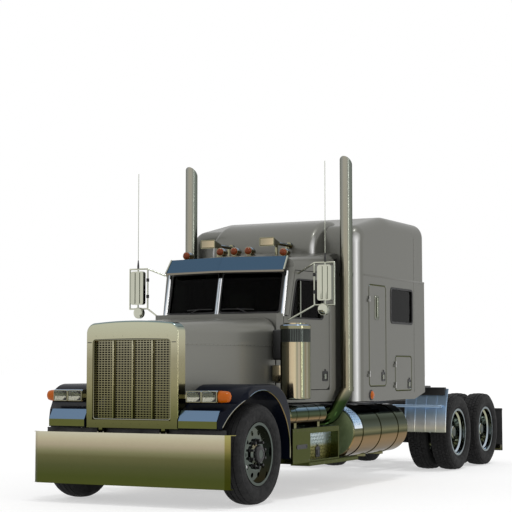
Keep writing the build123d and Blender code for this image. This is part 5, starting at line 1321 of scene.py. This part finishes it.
def cushion(low, high, crown, channels):
    """A stuffed block: rounded, crowned on its broad face along Z and sewn in channels along X."""
    low, high = Vector(low), Vector(high)
    pad = block(low, high)
    with editing():
        bpy.ops.mesh.subdivide(number_cuts=15)
    middle = (low + high) / 2
    half = (high - low) / 2
    for vertex in pad.data.vertices:
        u, v, w = ((vertex.co[i] - middle[i]) / half[i] for i in range(3))
        swell = (1 - u * u) * (1 - v * v)
        seam = abs(math.sin(math.pi * channels * (v + 1) / 2)) ** 0.5
        vertex.co.z += w * crown * (swell + 0.5 * seam * swell - 0.4)
        vertex.co.x -= u * 0.012 * (1 - v * v) * abs(w)
    applied(pad, "BEVEL", width=0.02, segments=2, limit_method="ANGLE", angle_limit=math.radians(50))
    return applied(pad, "SUBSURF", levels=1, render_levels=1)


class TRACTOR_OT_cabin(bpy.types.Operator):
    """Model the seats with their stands, the bunk mattress and the dials"""
    bl_idname = "tractor.cabin"
    bl_label = "Cabin"

    def execute(self, context):
        for side, y in zip(SIDES, SEATS_Y):
            base = cushion(at(-2.17, y - 0.24, 1.40), at(-1.69, y + 0.24, 1.50), 0.018, 4)
            back = cushion((-0.34, -0.24, -0.045), (0.34, 0.24, 0.045), 0.018, 4)
            lean = Matrix.Rotation(math.radians(81), 4, LEFT)
            back.data.transform(Matrix.Translation(at(-2.17, y, 1.85)) @ lean)
            seat = finish(joined([base, back]), "seat_" + side, "chassis", "seat cloth", 60)
            if side == "left":
                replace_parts(seat, "seats")
        stands = [block(at(-2.16, y - 0.2, 1.086), at(-1.78, y + 0.2, 1.385), 0.03) for y in SEATS_Y]
        finish(joined(stands), "seat_stands", "chassis", "moulded black plastic")
        mattress = cushion(at(-4.452, -1.106, 1.606), at(-3.592, 1.106, 1.766), 0.012, 7)
        finish(mattress, "mattress", "chassis", "seat cloth", 60)
        bezel = ((0, 0.0), (0, 0.046), (0.010, 0.044), (0.010, 0.038), (0.004, 0.037), (0.004, 0))
        facing = Vector((-0.84, 0, 0.54)).normalized()
        dials = [turned(bezel, at(-1.466, y, 1.905), facing, 24) for y in DIALS_Y]
        finish(joined(dials), "dials", "chassis", "chrome plate")
        return {"FINISHED"}


# Camera at the place the picture was taken from, and a studio round the truck
CAMERA_AT = at(13.6796, 8.1938, 1.4140)
CAMERA_YAW = 3.6180
CAMERA_PITCH = 0.0776
CAMERA_LENS = 102.54
CAMERA_REACH = 500
FLOOR_SIZE = 600.0
PAPER_GLOW = 0.52
SOFT_BOX_AT = at(1.7, 11.2, 3.4)
SOFT_BOX_AIM = at(-2.7, 1.1, 3.4)
SOFT_BOX_SIZE = (0.6, 5.4)
SUN_WAY = Vector((-0.02, -0.2, -1))
SUN_SPREAD = math.radians(8)


def seen_rays(tree):
    """1 for what the camera sees, straight, in a mirror or through glass, and 0 for light on its way."""
    path = add_node(tree, "ShaderNodeLightPath")
    straight = add_node(tree, "ShaderNodeMath", operation="MAXIMUM",
                        links={0: path.outputs["Is Camera Ray"], 1: path.outputs["Is Glossy Ray"]})
    seen = add_node(tree, "ShaderNodeMath", operation="MAXIMUM",
                    links={0: straight.outputs[0], 1: path.outputs["Is Transmission Ray"]})
    return seen.outputs[0]


def shine(light, place, way):
    """Put a light at the place, shining along the way."""
    lamp = bpy.data.objects.new(light.name, light)
    lamp.location = place
    lamp.rotation_euler = way.to_track_quat("-Z", "Y").to_euler()
    bpy.context.collection.objects.link(lamp)


class TRACTOR_OT_stage(bpy.types.Operator):
    """Set the camera, the pale floor and the soft light"""
    bl_idname = "tractor.stage"
    bl_label = "Stage"

    def execute(self, context):
        scene = context.scene
        scene.view_settings.view_transform = "Standard"
        clear_selection()
        bpy.ops.mesh.primitive_plane_add(size=FLOOR_SIZE)
        floor = context.object
        floor.name = "studio_floor"
        # Matt pale paper: keeps the shadow, and is white to the eye and in mirrors
        tree, shader = new_material("studio paper", Roughness=1.0, Emission_Color=linear("#ffffff"))[:2]
        seen = seen_rays(tree)
        paper = add_node(tree, "ShaderNodeMix", data_type="RGBA", links={"Factor": seen},
                         inputs={MIX_A: linear("#ececea"), MIX_B: linear("#c0c0c0")})
        tree.links.new(paper.outputs[MIX_RESULT], shader.inputs["Base Color"])
        glow = add_node(tree, "ShaderNodeMath", operation="MULTIPLY", inputs={1: PAPER_GLOW},
                        links={0: seen})
        tree.links.new(glow.outputs[0], shader.inputs["Emission Strength"])
        floor.data.materials.append(bpy.data.materials["studio paper"])
        world = bpy.data.worlds.new("studio")
        scene.world = world
        world.use_nodes = True
        tree = world.node_tree
        tree.nodes.clear()
        strength = add_node(tree, "ShaderNodeMapRange", inputs={"To Min": sizes().sky_light, "To Max": 1.0},
                            links={"Value": seen_rays(tree)})
        shade = add_node(tree, "ShaderNodeBackground", inputs={"Color": (1, 1, 1, 1)},
                         links={"Strength": strength.outputs["Result"]})
        add_node(tree, "ShaderNodeOutputWorld", links={"Surface": shade.outputs["Background"]})
        tall_box = bpy.data.lights.new("soft_box", "AREA")
        tall_box.shape = "RECTANGLE"
        tall_box.size, tall_box.size_y = SOFT_BOX_SIZE
        tall_box.energy = sizes().key_light
        shine(tall_box, SOFT_BOX_AT, SOFT_BOX_AIM - SOFT_BOX_AT)
        overhead = bpy.data.lights.new("overhead", "SUN")
        overhead.energy = sizes().top_light
        overhead.angle = SUN_SPREAD
        shine(overhead, Vector(), SUN_WAY)
        eye = bpy.data.cameras.new("camera")
        eye.lens = CAMERA_LENS
        eye.clip_end = CAMERA_REACH
        camera = bpy.data.objects.new("camera", eye)
        camera.location = CAMERA_AT
        camera.rotation_euler = (math.pi / 2 + CAMERA_PITCH, 0, CAMERA_YAW - math.pi / 2)
        context.collection.objects.link(camera)
        scene.camera = camera
        return {"FINISHED"}


PIECES = (TRACTOR_OT_finishes, TRACTOR_OT_wheels, TRACTOR_OT_grille, TRACTOR_OT_lamps, TRACTOR_OT_nose_trim,
          TRACTOR_OT_windscreen, TRACTOR_OT_doors, TRACTOR_OT_sleeper, TRACTOR_OT_roof, TRACTOR_OT_mirrors,
          TRACTOR_OT_air_cleaners, TRACTOR_OT_steps, TRACTOR_OT_rear, TRACTOR_OT_cabin, TRACTOR_OT_stage)


class TRACTOR_PT_panel(bpy.types.Panel):
    """Sizes, colours and pieces of the tractor"""
    bl_idname = "TRACTOR_PT_panel"
    bl_label = "Tractor"
    bl_space_type = "VIEW_3D"
    bl_region_type = "UI"
    bl_category = "Tractor"

    def draw(self, context):
        for group in (context.scene.tractor_sizes, context.scene.tractor_colours):
            for key in group.__annotations__:
                self.layout.prop(group, key)
        for piece in PIECES:
            self.layout.operator(piece.bl_idname)


CLASSES = (TractorSizes, TractorColours) + PIECES + (TRACTOR_PT_panel,)


def register():
    for kind in CLASSES:
        bpy.utils.register_class(kind)
    bpy.types.Scene.tractor_sizes = PointerProperty(type=TractorSizes)
    bpy.types.Scene.tractor_colours = PointerProperty(type=TractorColours)


def unregister():
    del bpy.types.Scene.tractor_colours
    del bpy.types.Scene.tractor_sizes
    for kind in reversed(CLASSES):
        bpy.utils.unregister_class(kind)


def main():
    register()
    bpy.ops.tractor.finishes()
    bpy.ops.tractor.wheels()
    bpy.ops.tractor.grille()
    bpy.ops.tractor.lamps()
    bpy.ops.tractor.nose_trim()
    bpy.ops.tractor.windscreen()
    bpy.ops.tractor.doors()
    bpy.ops.tractor.sleeper()
    bpy.ops.tractor.roof()
    bpy.ops.tractor.mirrors()
    bpy.ops.tractor.air_cleaners()
    bpy.ops.tractor.steps()
    bpy.ops.tractor.rear()
    bpy.ops.tractor.cabin()
    bpy.ops.tractor.stage()
    clear_selection()


if __name__ == "__main__":
    main()
